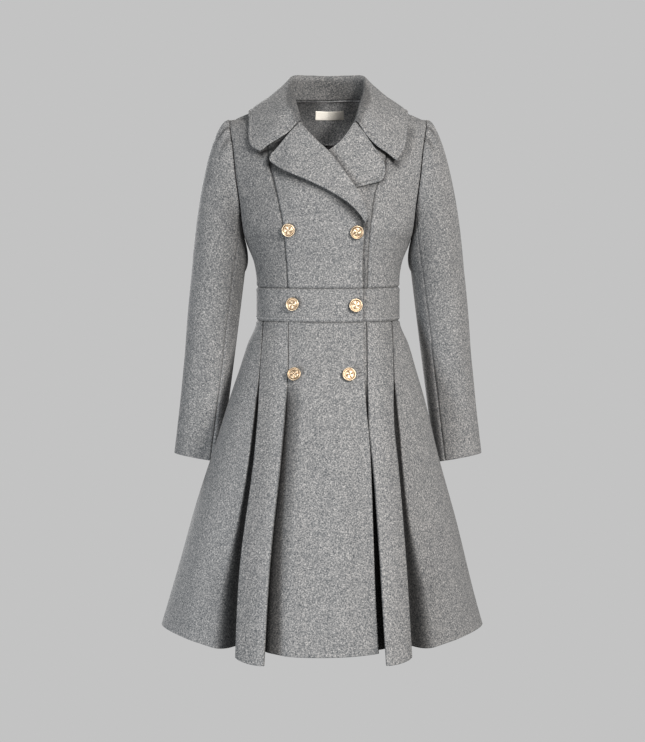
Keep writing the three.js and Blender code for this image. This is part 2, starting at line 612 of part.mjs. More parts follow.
function addSkirt() {
  addFrontPanel({
    name: 'skirt_front_right', table: RIGHT_PLEAT, sign: -1, foldName: 'centreFold',
    hem: HEM.centreEnd, sag: HEM.sag,
    edgeX: (z) => column(RIGHT_FRONT_EDGE, 'x', z),
    lift: (x) => OVERLAP.lift * smooth((x - OVERLAP.skirtX) / OVERLAP.skirtSpan),
  });
  addFrontPanel({
    name: 'skirt_front_left', table: LEFT_PLEAT, sign: 1, foldName: 'underFold', hem: HEM.underlap,
    edgeX: () => UNDERLAP_X,
  });
  addBackPanel('skirt_back_centre', BACK_PLEAT);
  for (const [hand, sign, table] of [['right', -1, RIGHT_PLEAT], ['left', 1, LEFT_PLEAT]]) {
    addPleatPanel(`skirt_pleat_front_${hand}`, table, sign, 'front');
    addPleatPanel(`skirt_pleat_back_${hand}`, BACK_PLEAT, sign, 'back');
    addSidePanel(`skirt_side_front_${hand}`, table, sign, 'front');
    addSidePanel(`skirt_side_back_${hand}`, BACK_PLEAT, sign, 'back');
  }
}

// The armhole edge at an angle, 0 at the shoulder and a quarter turn at the front
function armholePoint(angle) {
  const z = ARMHOLE.middleZ + ARMHOLE.halfHeight * Math.cos(angle);
  const reach = Math.sin(angle) >= 0 ? ARMHOLE.frontReach : ARMHOLE.backReach;
  return new THREE.Vector3(column(BODY, 'half', z), SIDE_Y - reach * Math.sin(angle), z);
}

// A ring of the sleeve below the cap
function sleeveRing(angle, z) {
  const x = column(SLEEVE, 'x', z) + column(SLEEVE, 'wide', z) * Math.cos(angle);
  const y = column(SLEEVE, 'y', z) - column(SLEEVE, 'deep', z) * Math.sin(angle);
  return new THREE.Vector3(x, y, z + column(SLEEVE, 'tilt', z) * Math.cos(angle));
}

// The cap: a curve from the armhole, puffed out at the head with small tucks, down to the first ring
function capPoint(angle, share, puff) {
  const start = armholePoint(angle);
  const end = sleeveRing(angle, SLEEVE_CAP.endZ);
  const head = (1 + Math.cos(angle)) / 2;
  start.x += SLEEVE_CAP.clearance * Math.sqrt(1 - head);
  const rounded = new THREE.Vector3(0, -Math.sin(angle), Math.cos(angle));
  const rise = start.clone().addScaledVector(rounded, SLEEVE_CAP.lift * head);
  rise.x += SLEEVE_CAP.flat + puff * head;
  const fall = end.clone();
  fall.z += SLEEVE_CAP.fall + SLEEVE_CAP.drop * head;
  fall.x -= SLEEVE_CAP.spread * head + SLEEVE_CAP.under * (1 - head);
  const curve = new THREE.CubicBezierCurve3(start, rise, fall, end);
  const { tuckShare, tuckFrom, tuckSpan } = SLEEVE_CAP;
  const near = Math.sin(Math.PI * Math.min(1, share / tuckShare))
    * smooth((Math.cos(angle) - tuckFrom) / tuckSpan);
  const tuck = SLEEVE_CAP.tuckDepth * near * Math.cos(angle * SLEEVE_CAP.tucks * 2);
  return curve.getPoint(share).addScaledVector(rounded, tuck);
}

const CAP_STEPS = [0.004, 0.08, 0.18, 0.3, 0.45, 0.62, 0.8, 1];
const ARM_STEPS = [-366, -453, -539, -638.5];

function addSleeve(hand, sign) {
  const rows = CAP_STEPS.length + ARM_STEPS.length - 1;
  const sleevePoint = (angle, i) => {
    const cuffs = CAP_STEPS.length;
    const p = i < cuffs ? capPoint(angle, CAP_STEPS[i], SLEEVE_CAP.puff[hand])
      : sleeveRing(angle, ARM_STEPS[i - cuffs]);
    return p.setX(sign * p.x);
  };
  const halves = [
    { name: `sleeve_top_${hand}`, from: -SLEEVE_SEAM_ANGLE, to: SLEEVE_SEAM_ANGLE, columns: 20 },
    {
      name: `sleeve_under_${hand}`, from: SLEEVE_SEAM_ANGLE, to: 2 * Math.PI - SLEEVE_SEAM_ANGLE, columns: 8,
    },
  ];
  for (const { name, from, to, columns } of halves) {
    wall({
      name, rows, columns, continues: { start: true, end: true }, gap: SLEEVE_CAP.gap,
      point: (i, j) => sleevePoint(mix(from, to, j / columns), i),
    });
  }
}

// One section of the collar: up the stand, over the roll and down the fall
function collarSection({ neck, roll, fall, edge }) {
  const [n, r, f, e] = [neck, roll, fall, edge];
  const away = f.clone().sub(n).setZ(0).normalize();
  const stand = n.clone().lerp(r, 0.55).addScaledVector(away, -COLLAR_TURN.hollow);
  const turn = Math.min(COLLAR_TURN.radius, r.distanceTo(n) * 0.35);
  const inner = r.clone().addScaledVector(away, -turn * 0.8);
  inner.z -= turn * 1.1;
  const outer = r.clone().addScaledVector(away, turn * 1.2);
  outer.z -= turn * 0.5;
  const upper = outer.clone().lerp(f, 0.5);
  upper.z += COLLAR_TURN.upper;
  const lower = f.clone().lerp(e, 0.5);
  lower.z += COLLAR_TURN.lower;
  return [n, stand, inner, r, outer, upper, f, lower, e];
}

// The collar's lower edge, just past the neck edge of the panels that it is sewn to
function neckSeam(sign, { neckX, neckZ }) {
  const edge = sign < 0 ? RIGHT_FRONT_EDGE : LEFT_FRONT_EDGE;
  const side = neckZ === undefined ? 'back' : 'front';
  const z = neckZ ?? backNeckZ(neckX);
  const x = neckZ === undefined ? sign * neckX : column(edge, 'x', neckZ);
  const seam = bodyPoint(angleAt(x, z, side), z);
  const inward = new THREE.Vector3(-seam.x, -seam.y, 0).normalize();
  seam.addScaledVector(inward, NECK_SEAM.inward);
  seam.z += NECK_SEAM.up;
  return seam;
}

function addCollar() {
  const place = (sign) => (row) => {
    const to = ([x, y, z]) => new THREE.Vector3(sign * x, y, z);
    return { neck: neckSeam(sign, row), roll: to(row.roll), fall: to(row.fall), edge: to(row.edge) };
  };
  const right = [...COLLAR_BACK, ...COLLAR_RIGHT_END].map(place(-1)).reverse();
  const left = [...COLLAR_BACK.slice(1), ...COLLAR_LEFT_END].map(place(1));
  const sections = [...right, ...left];
  const lines = {};
  for (const line of ['neck', 'roll', 'fall', 'edge']) {
    lines[line] = new THREE.CatmullRomCurve3(sections.map((row) => row[line]), false, 'centripetal');
  }
  const steps = 24;
  const grid = [];
  for (let k = 0; k <= steps; k += 1) {
    const at = (line) => lines[line].getPoint(k / steps);
    grid.push(collarSection({ neck: at('neck'), roll: at('roll'), fall: at('fall'), edge: at('edge') }));
  }
  wall({ name: 'collar', rows: steps, columns: grid[0].length - 1, point: (i, j) => grid[i][j].clone() });
}

// A lapel: it turns at the roll line and lies on its front, with its free edge lifted
function addLapel(name, table, frontLift) {
  const turns = [
    { past: 0.2, lift: 0 }, { past: LAPEL_TURN * 0.75, lift: LAPEL_TURN * 0.35 },
    { past: LAPEL_TURN, lift: LAPEL_TURN }, { past: LAPEL_TURN * 0.7, lift: LAPEL_TURN * 1.75 },
    { past: -LAPEL_TURN, lift: LAPEL_TURN * 2.05 },
  ];
  const shares = [0.2, 0.45, 0.72, 1];
  const point = (i, j) => {
    const row = table[i];
    const way = new THREE.Vector2(row.edgeX - row.rollX, row.edgeZ - row.rollZ);
    const length = way.length();
    const turn = turns[Math.min(j, turns.length - 1)];
    const share = j < turns.length ? -turn.past / length : shares[j - turns.length];
    const lift = j < turns.length ? turn.lift : mix(LAPEL_TURN * 2.05, row.lift, share ** 1.5);
    const x = row.rollX + way.x * share;
    const z = row.rollZ + way.y * share;
    const angle = angleAt(x, z, 'front');
    const base = bodyPoint(angle, z);
    return base.addScaledVector(outward(angle, z), lift + frontLift(x, z));
  };
  wall({ name, rows: table.length - 1, columns: turns.length + shares.length - 1, point });
}

// A point between the back panel's own grid points, moved inward
function insideBack(row, place, depth) {
  const at = bodicePoints(BACK_CENTRE);
  const [i, j] = [Math.floor(row), Math.floor(place)];
  const upper = at(i, j).lerp(at(i, j + 1), place - j);
  const lower = at(i + 1, j).lerp(at(i + 1, j + 1), place - j);
  const here = upper.lerp(lower, row - i);
  const angle = angleAt(here.x, here.z, 'back');
  return here.addScaledVector(squareOut(angle, Math.min(here.z, BACK_NECK_Z - 8)), -depth);
}

// The facing inside the back neck, and the blank label on it
function addBackFacing() {
  const facingDepth = LAYER + FACING.ease;
  wall({
    name: 'back_facing', material: facingWool,
    rows: FACING.rows.length - 1, columns: FACING.places.length - 1,
    point: (i, j) => insideBack(FACING.rows[i], FACING.places[j], facingDepth),
  });
  const labelDepth = LAYER + LAYER / 2 + LABEL.wall / 2 + 2 * SEAM_GAP;
  wall({
    name: 'label', material: cream, thickness: LABEL.wall,
    rows: LABEL.rows.length - 1, columns: LABEL.places.length - 1,
    point: (i, j) => insideBack(LABEL.rows[i], LABEL.places[j], labelDepth),
  });
}

// A shank button with a raised rim
function addButton({ name, x, z, seat }) {
  const { radius, rim, plate, crown, shankRadius, shank } = BUTTON;
  const profile = [
    [0, 0], [shankRadius, 0], [shankRadius, shank], [radius - 1, shank], [radius, shank + plate / 2],
    [radius - 0.4, shank + crown], [radius - rim, shank + crown], [radius - rim - 0.6, shank + plate],
    [0, shank + plate + 0.5],
  ];
  const points = profile.map(([r, height]) => new THREE.Vector2(r, height));
  const geometry = new THREE.LatheGeometry(points, 16);
  const mesh = new THREE.Mesh(geometry, gold);
  mesh.name = name;
  const angle = angleAt(x, z, 'front');
  const way = squareOut(angle, z);
  const ground = z < BAND.bottomZ ? OVERLAP.lift : overlapLift(x, z);
  const lift = ground + CLOTH / 2 + 2 * SEAM_GAP - seat;
  mesh.position.copy(bodyPoint(angle, z).addScaledVector(way, lift));
  mesh.quaternion.setFromUnitVectors(new THREE.Vector3(0, 1, 0), way);
  coat.add(mesh);
}

addBodice();
addWaistband();
addSkirt();
addCollar();
addLapel('lapel_right', RIGHT_LAPEL, overlapLift);
addLapel('lapel_left', LEFT_LAPEL, () => 0);
addBackFacing();
addSleeve('right', -1);
addSleeve('left', 1);
BUTTONS.forEach(addButton);

export default coat;
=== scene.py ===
import math

import bpy
import numpy as np
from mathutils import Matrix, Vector


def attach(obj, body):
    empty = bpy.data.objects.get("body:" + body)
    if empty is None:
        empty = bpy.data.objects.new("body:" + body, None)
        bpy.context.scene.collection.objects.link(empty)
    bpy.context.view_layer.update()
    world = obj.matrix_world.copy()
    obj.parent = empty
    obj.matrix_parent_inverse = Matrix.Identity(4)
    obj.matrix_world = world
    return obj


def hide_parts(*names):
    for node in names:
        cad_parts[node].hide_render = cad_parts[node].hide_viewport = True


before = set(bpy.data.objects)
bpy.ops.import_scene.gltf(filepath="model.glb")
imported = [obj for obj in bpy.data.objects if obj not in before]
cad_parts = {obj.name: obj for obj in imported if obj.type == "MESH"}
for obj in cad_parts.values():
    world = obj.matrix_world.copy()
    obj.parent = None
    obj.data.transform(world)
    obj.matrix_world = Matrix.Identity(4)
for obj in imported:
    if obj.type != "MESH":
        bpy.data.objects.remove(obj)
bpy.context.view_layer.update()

# Sizes are in millimetres in the part's frame, and meshes are made in metres
MM = 0.001
CLOTH, DOUBLED, FACING, TAPE = 2.2, 2.6, 1.6, 0.7
SEAM_GAP, VISIBLE_GAP = 0.3, 0.7
LAYER = CLOTH + SEAM_GAP
STITCH_INSET, HEM_STITCH = 6.0, 36
GRID_STEP = 6.5
BODY_POWER = 2.2
SIDE_Y = 4
NECK_X, NECK_Z, TIP_X, TIP_Z = 72, 8, 175.5, -29
ROUNDING = {"front": 90, "back": 60}
ARMHOLE_Z, ARMHOLE_HALF, ARMHOLE_FRONT, ARMHOLE_BACK = -137, 108, 56, 60
BAND_TOP, BAND_BOTTOM, DIP_TOP, DIP_BOTTOM = -328, -388, 8, 7
SLIT_TOP = -490
HEM = {"side": -936, "fold": -955, "side_inner": -945, "pleat_outer": -960, "pleat_inner": -968.5,
       "centre_end": -953, "under_fold": -950, "underlap": -947, "lowest": -959}
UNDERLAP_X = -50
OVERLAP_LIFT, BREAK_LIFT = 2.8, 9
OUTER_DEPTH, INNER_DEPTH, ALLOWANCE, HEM_SAG, RECESS_FADE = 55, 45, 6, 5, 14
OUTER_GAP, INNER_GAP = 2.6, 2.8
ROLL_SETBACK, BACK_NECK_Z, LAPEL_TURN = 3, 14, 2.6
# The floor, in metres
FLOOR_RADIUS, FLOOR_Z = 1.25, -1.42


def table(names, rows):
    """Columns of a table by name, with the heights turned to run upward."""
    return {n: np.array([row[k] for row in rows], float)[::-1] for k, n in enumerate(names.split())}


BODY = table("z half front back sway", [
    (20, 175.5, 76, 76, 0), (-29, 175.5, 86, 82, 0), (-87, 168, 101, 96, 0),
    (-141, 162, 115, 102, 0), (-191, 155, 119, 102, 0), (-245, 147, 112, 97, 0),
    (-285, 132, 103, 90, 0), (-328, 127, 98, 85, 0), (-388, 127, 98, 85, 0),
    (-431, 143, 110, 97, 0), (-475, 156.6, 124, 110, -0.5), (-539, 177, 141, 127, -2),
    (-669, 211.5, 174, 158, -6), (-755, 236, 194, 176, -8.6), (-842, 260, 213, 194, -10.2),
    (-980, 301, 240, 221, -10.8)])
RIGHT_EDGE = table("z x", [
    (8, -72), (-20, -61), (-44, -49.6), (-79, -23.5), (-103, 0.4), (-149, 33), (-177.5, 51),
    (-212, 66.5), (-222, 66), (-245, 61.5), (-400, 60.6), (-500, 62), (-560, 66), (-600, 70),
    (-674, 73), (-764, 75.5), (-873, 79), (-980, 85)])
LEFT_EDGE = table("z x", [
    (8, 72), (-20, 61), (-44, 49), (-79, 26), (-103, -3.3), (-127, -22), (-165, -42),
    (-212, UNDERLAP_X), (-980, UNDERLAP_X)])
PRINCESS = table("z right left back", [
    (20, 112, 112, 96), (-10, 112, 112, 96), (-120, 102, 99, 92), (-170, 90, 82, 84),
    (-225, 79, 74, 74), (-345, 69, 68.5, 66)])
PLEATS = {
    "right": table("z fold outer inner", [
        (-380, 115.2, 112.6, 70.5), (-490, 121, 118.2, 70), (-544, 125.5, 119, 71.6),
        (-586, 129, 120.7, 73.6), (-642, 134.5, 124, 76.8), (-800, 156, 139.5, 88.2),
        (-855, 163.4, 142.6, 91), (-980, 175, 146.2, 96.5)]),
    "left": table("z fold outer inner", [
        (-380, 113.8, 111.2, 68.5), (-490, 117, 114.2, 69.5), (-544, 122.4, 115.2, 71.4),
        (-586, 128.2, 118, 74), (-642, 134.5, 125.4, 81.4), (-800, 157.5, 141.5, 96.5),
        (-855, 166.5, 145.4, 100), (-980, 181, 152.5, 107.5)]),
    "back": table("z fold outer inner", [
        (-380, 112.6, 110, 66), (-490, 118.4, 115.6, 68), (-586, 127, 119, 72.5),
        (-642, 134, 124.4, 78), (-800, 155, 140, 91), (-980, 177, 148.5, 101)]),
}
SLEEVE = table("z x wide deep y tilt", [
    (-300, 197.5, 47, 60, 6, 0), (-366, 205, 46, 55, 11, 2), (-453, 215, 44, 50, 27, 4.5),
    (-539, 226, 42.5, 46, 49, 6.5), (-638.5, 240, 42, 43.5, 79, 8)])
CAP_END, CUFF_Z = -300, -638.5
SLEEVE_SEAM = math.radians(128)
PUFF = {"right": 31, "left": 26}

# Collar sections: neck seam by x on the back or by z on the front, then roll, fall and outer edge
COLLAR_BACK = [
    (("x", 0), (0, 62, 60.5), (0, 83, 22), (0, 93, -30)),
    (("x", 39), (36, 57, 60), (45, 78, 21), (58, 88, -31)),
    (("x", 64), (64, 32, 55.5), (86, 50, 20), (112, 64, -27)),
    (("x", 72), (67.5, 5, 38), (106, 12, 14.5), (141, 10, -11.5))]
COLLAR_END = {
    "right": [
        (("z", -2), (64, -30, 14), (104, -36, -8), (141, -31, -28)),
        (("z", -18), (57, -68, -10), (94, -79, -44), (136, -74, -82)),
        (("z", -41), (49, -91, -41.5), (86, -97, -73.5), (119, -91, -95))],
    "left": [
        (("z", -2), (64, -30, 14), (104, -36, -8), (142, -31, -29)),
        (("z", -18), (57, -68, -9), (94, -79, -48), (133.5, -79, -88)),
        (("z", -39), (48, -90, -42.5), (86, -98, -87.5), (119.5, -94, -112))],
}
LAPELS = {
    "right": [
        (-48.6, -47.5, -95, -100, 8), (-38, -62, -98.5, -111, 10), (-23.5, -79, -85, -123.5, 11),
        (0.4, -103, -59, -138, 10), (17, -126, -29, -152.5, 9), (33, -149, 7.6, -172.5, 8),
        (51, -177.5, 35, -191, 6.5), (61, -199, 51, -206, 5.5), (66, -217, 62.5, -222, 5)],
    "left": [
        (48.2, -43.5, 90, -108, 8), (37.5, -63, 95, -123, 10), (26, -79, 91.3, -146, 9),
        (12, -92, 67, -156, 6.5), (-3.3, -103, 42, -163, 4.8), (-13, -113, 14, -170, 4.8),
        (-25, -131, -10, -176, 4.8)],
}
BUTTONS = {
    "button_top_right": 10, "button_top_left": 35, "button_waist_right": 5,
    "button_waist_left": -8, "button_skirt_right": 52, "button_skirt_left": 41,
}
SIGN = {"right": -1, "left": 1}


def mix(a, b, t):
    return a + (b - a) * t


def smooth(t):
    t = np.clip(t, 0, 1)
    return t * t * (3 - 2 * t)


def column(rows, name, z):
    """Smooth value of a table's column at a height."""
    zs, vs = rows["z"], rows[name]
    z = np.clip(z, zs[0], zs[-1])
    chord = np.diff(vs) / np.diff(zs)
    lean = np.where(chord[:-1] * chord[1:] > 0, (chord[:-1] + chord[1:]) / 2, 0)
    slope = np.concatenate([chord[:1], lean, chord[-1:]])
    k = np.clip(np.searchsorted(zs, z, side="right") - 1, 0, len(zs) - 2)
    span = zs[k + 1] - zs[k]
    t = (z - zs[k]) / span
    keep = 1 - t
    ends = vs[k] * keep ** 2 * (1 + 2 * t) + vs[k + 1] * t ** 2 * (3 - 2 * t)
    return ends + span * t * keep * (slope[k] * keep - slope[k + 1] * t)


def unit(v):
    return v / np.maximum(np.linalg.norm(v, axis=-1, keepdims=True), 1e-9)


def xyz(x, y, z):
    return np.stack(np.broadcast_arrays(np.asarray(x, float), y, z), axis=-1)


# The body that the coat hangs on, as in the part

def shoulder_z(x):
    return NECK_Z + (np.abs(x) - NECK_X) * (TIP_Z - NECK_Z) / (TIP_X - NECK_X)


def back_neck_z(x):
    inside = mix(BACK_NECK_Z, NECK_Z, (np.abs(x) / NECK_X) ** 2)
    return np.where(np.abs(x) > NECK_X, shoulder_z(x), inside)


def angle_at(x, z, side):
    share = np.clip((x - column(BODY, "sway", z)) / column(BODY, "half", z), -1, 1)
    angle = np.arccos(np.sign(share) * np.abs(share) ** (BODY_POWER / 2))
    return angle if side == "front" else -angle


def body(angle, z, side):
    cosine = np.cos(angle)
    x = column(BODY, "half", z) * np.sign(cosine) * np.abs(cosine) ** (2 / BODY_POWER)
    level = np.clip((z - ARMHOLE_Z) / ARMHOLE_HALF, -1, 1)
    reach = -ARMHOLE_FRONT if side == "front" else ARMHOLE_BACK
    edge = SIDE_Y + reach * np.sqrt(1 - level * level)
    depth = -column(BODY, "front", z) if side == "front" else column(BODY, "back", z)
    below = np.clip((shoulder_z(x) - z) / ROUNDING[side], 0, 1)
    middle = SIDE_Y + (depth - SIDE_Y) * np.sqrt(1 - (1 - below) ** 2)
    power = mix(mix(BODY_POWER, 1, smooth((z + 245) / 95)), 1.55, smooth((-620 - z) / 340))
    y = edge + (middle - edge) * np.abs(np.sin(angle)) ** (2 / power)
    return xyz(x + column(BODY, "sway", z), y, z)


def outward(angle, z, side):
    along = body(angle + 0.01, z, side) - body(angle - 0.01, z, side)
    return unit(xyz(-along[..., 1], along[..., 0], 0 * along[..., 0]))


def lifted(angle, z, lift, side):
    return body(angle, z, side) + outward(angle, z, side) * np.asarray(lift)[..., None]


def no_lift(x, z):
    return 0 * x


def overlap_lift(x, z):
    height = mix(OVERLAP_LIFT, BREAK_LIFT, smooth((z + 214) / 34)) * np.clip((-20 - z) / 38, 0, 1)
    return height * smooth((x + 92) / 36)


def laid(angle, z, side, lift):
    """Points on the body, raised by a lift that depends on their place."""
    return lifted(angle, z, lift(body(angle, z, side)[..., 0], z), side)


def band_top(angle):
    return BAND_TOP - DIP_TOP * np.maximum(0, np.sin(angle))


def band_bottom(angle):
    return BAND_BOTTOM - DIP_BOTTOM * np.maximum(0, np.sin(angle))


# Cloth shells

# A grid has lines at these distances from a border, where seams and stitches shape the cloth
FINE = (0.9, 1.9, 3.0, 4.2, 5.2, 6.0, 6.8, 7.8, 9.5, 12)
# Troughs and swells near a border of each kind: distance from it, width and height
TROUGHS = {
    "seam": [(0, 2.2, -2.4), (5.5, 2.6, 0.5)],
    "soft": [(0, 2.4, -1.1)],
    "edge": [(STITCH_INSET, 1.3, -0.95), (2.8, 2.0, 0.6)],
    "hem": [(HEM_STITCH, 2.5, -0.5)],
}
# Painted shade in the trough of each kind: distance from the border, width and depth
PAINTED_SEAM_SHADE = {"seam": (0, 1.5, 0.5), "soft": (0, 1.5, 0.15), "edge": (STITCH_INSET, 1.1, 0.22),
              "hem": (HEM_STITCH, 2.0, 0.12)}
SEAMED = {"top": "seam", "bottom": "seam"}
HEMMED = {"top": "seam", "bottom": "hem"}


def shares(length, step, start=True):
    """Places along a length, close together near its ends, as shares of it."""
    fine = np.array([f for f in FINE if f < length / 2.2]) / length
    inner = np.linspace(0, 1, max(3, int(length / step)) + 1)
    first = fine if start else fine[:0]
    last = 1 - fine[::-1]
    low = first[-1] + 0.4 * step / length if start else 0
    middle = inner[(inner > low) & (inner < last[0] - 0.4 * step / length)]
    return np.unique(np.concatenate([[0], first, middle, last, [1]]))


def lengths(mid, axis):
    """Distance of each point from the first and from the last point of its line."""
    step = np.linalg.norm(np.diff(mid, axis=axis), axis=-1)
    pad = np.zeros_like(np.take(step, [0], axis=axis))
    along = np.cumsum(np.concatenate([pad, step], axis=axis), axis=axis)
    total = np.take(along, [-1], axis=axis)
    return along, total - along


def border_distances(mid):
    start, end = lengths(mid, 1)
    top, bottom = lengths(mid, 0)
    return {"start": start, "end": end, "top": top, "bottom": bottom}


def normals(mid):
    down = np.gradient(mid, axis=0)
    across = np.gradient(mid, axis=1)
    return unit(np.cross(across, down))


def bell(distance, place, width):
    return np.exp(-((distance - place) / width) ** 2)


def profile(distance, kind):
    """How far the cloth moves out or in near a border of this kind."""
    return sum(height * bell(distance, place, width) for place, width, height in TROUGHS.get(kind, ()))


def seam_trough_shade(distance, kind):
    """How bright the cloth's colour is near a border: painted shade in the troughs where seams and stitch
    lines pull it in.
    """
    place, width, depth = PAINTED_SEAM_SHADE.get(kind, (0, 1, 0))
    return 1 - depth * bell(distance, place, width)


def from_line(u, v, u0, v0, u1, v1):
    """How far along a line each place lies, as a share of it, and how far off the line."""
    du, dv = u1 - u0, v1 - v0
    along = np.clip(((u - u0) * du + (v - v0) * dv) / (du * du + dv * dv), 0, 1)
    return along, np.hypot(u - u0 - along * du, v - v0 - along * dv)


def crease_shift(mid, creases):
    """Soft troughs and ridges, each with two ends in the front view, a depth and a width.

    Its first value is 1 on the coat's front and -1 on its back.
    """
    shift = np.zeros(mid.shape[:-1])
    for facing, x0, z0, x1, z1, depth, width in creases:
        along, off = from_line(mid[..., 0], mid[..., 2], x0, z0, x1, z1)
        fade = np.sin(np.pi * np.clip(along, 0.02, 0.98)) ** 0.6
        shift -= depth * fade * bell(off, 0, width) * smooth(-facing * mid[..., 1] / 30 + 0.5)
    return shift


def shade_tone(mid, shades):
    """Shade that overlapping cloth throws: lines in the front view, with a width and a depth."""
    tone = np.ones(mid.shape[:-1])
    for line, width, depth in shades:
        off = np.min([from_line(mid[..., 0], mid[..., 2], *first, *second)[1]
                      for first, second in zip(line[:-1], line[1:])], axis=0)
        tone = tone * (1 - depth * bell(off, 0, width) * smooth(0.5 - mid[..., 1] / 30))
    return tone


class Shell:
    """A thin closed wall of cloth round a grid of middle points, in millimetres.

    Each border has a kind. Where the cloth is turned in, as in a pleat, its troughs fade out.
    """

    def __init__(self, name, mid, node, kinds, centre=(0, 0), thickness=CLOTH, creases=(),
                 materials=None, extra=0.0, tone=1.0, turned=False, shades=()):
        normal = normals(mid)
        extra, tone = (np.broadcast_to(value, mid.shape[:2]) for value in (extra, tone))
        radial = mid[..., :2] - np.asarray(centre, float)
        if (normal[..., :2] * radial).sum() < 0:
            mid, extra, tone = mid[:, ::-1], extra[:, ::-1], tone[:, ::-1]
            kinds = {**kinds, "start": kinds.get("end"), "end": kinds.get("start")}
            normal = normals(mid)
        shift = crease_shift(mid, creases)
        # Painted shade goes into the tone: under overlapping cloth and in the seam and stitch troughs
        tone = tone * shade_tone(mid, shades)
        level = 1.0
        if turned:
            away = unit(xyz(mid[..., 0], mid[..., 1], 0))
            level = smooth(((normal * away).sum(axis=-1) - 0.8) / 0.15)
        for side, distance in border_distances(mid).items():
            shift = shift + level * profile(distance, kinds.get(side))
            tone = tone * seam_trough_shade(distance, kinds.get(side))
        self.mid = self.inset(mid + normal * (shift + extra)[..., None])
        self.normal = normals(self.mid)
        self.outer = self.mid + self.normal * thickness / 2
        self.distance = border_distances(self.mid)
        self.object = build_shell(name, self.mid, self.normal, thickness, materials or (wool, lining), tone)
        self.declare(node)

    @staticmethod
    def inset(mid):
        """The borders move in by half of a seam's visible gap."""
        mid = mid.copy()
        rows = [unit(mid[k] - mid[end]) for end, k in ((0, 1), (-1, -2))]
        columns = [unit(mid[:, k] - mid[:, end]) for end, k in ((0, 1), (-1, -2))]
        for end, row, line in zip((0, -1), rows, columns):
            mid[end] += row * VISIBLE_GAP / 2
            mid[:, end] += line * VISIBLE_GAP / 2
        return mid

    def declare(self, node):
        """What the piece rides on and the node it replaces."""
        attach(self.object, "root")
        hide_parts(node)

    def line(self, side, offset=STITCH_INSET, first=0.0, last=1.0):
        """Points and normals of the outer face at an offset from a border."""
        outer, normal, distance = self.outer, self.normal, self.distance[side]
        if side in ("top", "bottom"):
            outer, normal, distance = (grid.swapaxes(0, 1) for grid in (outer, normal, distance))
        end = len(outer) - 1
        points, ups = [], []
        for i in range(int(first * end), int(last * end) + 1):
            d = distance[i]
            order = np.argsort(d)
            j = np.clip(np.searchsorted(d[order], offset), 1, len(d) - 1)
            j0, j1 = order[j - 1], order[j]
            t = (offset - d[j0]) / max(d[j1] - d[j0], 1e-6)
            points.append(mix(outer[i, j0], outer[i, j1], t))
            ups.append(normal[i, j0])
        return np.array(points), np.array(ups)


BORDER_TAPER, RIM_REACH = 0.78, 0.3


def border(index, k):
    """The indices round a grid, k lines in from its border."""
    return np.concatenate([index[k, :-1], index[:-1, -1 - k], index[-1 - k, :0:-1], index[:0:-1, k]])


def rim_points(mid, normal, thickness, index):
    """Points just past the border, which round it."""
    flat, loop = mid.reshape(-1, 3), border(index, 0)
    around = np.roll(flat[loop], -1, axis=0) - np.roll(flat[loop], 1, axis=0)
    out = unit(np.cross(around, normal.reshape(-1, 3)[loop]))
    if ((flat[loop] - flat[border(index, 1)]) * out).sum() < 0:
        out = -out
    return flat[loop] + out * thickness * RIM_REACH


def build_shell(name, mid, normal, thickness, materials, tone):
    """A closed wall: an outer and an inner face, joined by a rim round the border."""
    taper = np.ones((*mid.shape[:2], 1))
    taper[[0, -1], :] = BORDER_TAPER
    taper[:, [0, -1]] = BORDER_TAPER
    half = normal * thickness / 2 * taper
    index = np.arange(tone.size).reshape(tone.shape)
    rim = rim_points(mid, normal, thickness, index)
    points = np.concatenate([(mid + half).reshape(-1, 3), (mid - half).reshape(-1, 3), rim])
    a, b, c, d = index[:-1, :-1], index[:-1, 1:], index[1:, 1:], index[1:, :-1]
    quads = np.stack([a, d, c, b], axis=-1).reshape(-1, 4)
    loop, ring = border(index, 0), 2 * tone.size + np.arange(len(rim))
    loop_next, ring_next = np.roll(loop, -1), np.roll(ring, -1)
    upper = np.stack([loop, loop_next, ring_next, ring], axis=-1)
    lower = np.stack([ring, ring_next, tone.size + loop_next, tone.size + loop], axis=-1)
    faces = np.concatenate([quads, quads[:, ::-1] + tone.size, upper, lower])
    p, q, r = points[quads[0, :3]]
    if normal[0, 0] @ np.cross(q - p, r - p) < 0:
        faces = faces[:, ::-1]
    skin = np.zeros(len(faces), int)
    skin[len(quads):2 * len(quads)] = 1
    tone = tone.reshape(-1)
    return make_mesh(name, points * MM, faces, materials, skin, np.concatenate([tone, tone, tone[loop]]))


def make_mesh(name, points, faces, materials, skin=None, tone=None):
    """A smooth mesh from points in metres; skin picks each face's material, tone its painted light and shade.
    """
    mesh = bpy.data.meshes.new(name)
    sizes = np.array([len(f) for f in faces])
    flat = np.concatenate(faces)
    mesh.vertices.add(len(points))
    mesh.vertices.foreach_set("co", np.asarray(points, np.float32).ravel())
    mesh.loops.add(len(flat))
    mesh.loops.foreach_set("vertex_index", flat.astype(np.int32))
    mesh.polygons.add(len(sizes))
    mesh.polygons.foreach_set("loop_start", (np.cumsum(sizes) - sizes).astype(np.int32))
    mesh.polygons.foreach_set("use_smooth", np.ones(len(sizes), bool))
    if skin is not None:
        mesh.polygons.foreach_set("material_index", skin.astype(np.int32))
    if tone is not None:
        layer = mesh.attributes.new("tone", "FLOAT", "POINT")
        layer.data.foreach_set("value", np.asarray(tone, np.float32))
    mesh.update(calc_edges=True)
    mesh.validate()
    for material in materials:
        mesh.materials.append(material)
    piece = bpy.data.objects.new(name, mesh)
    bpy.context.collection.objects.link(piece)
    return piece


# Materials

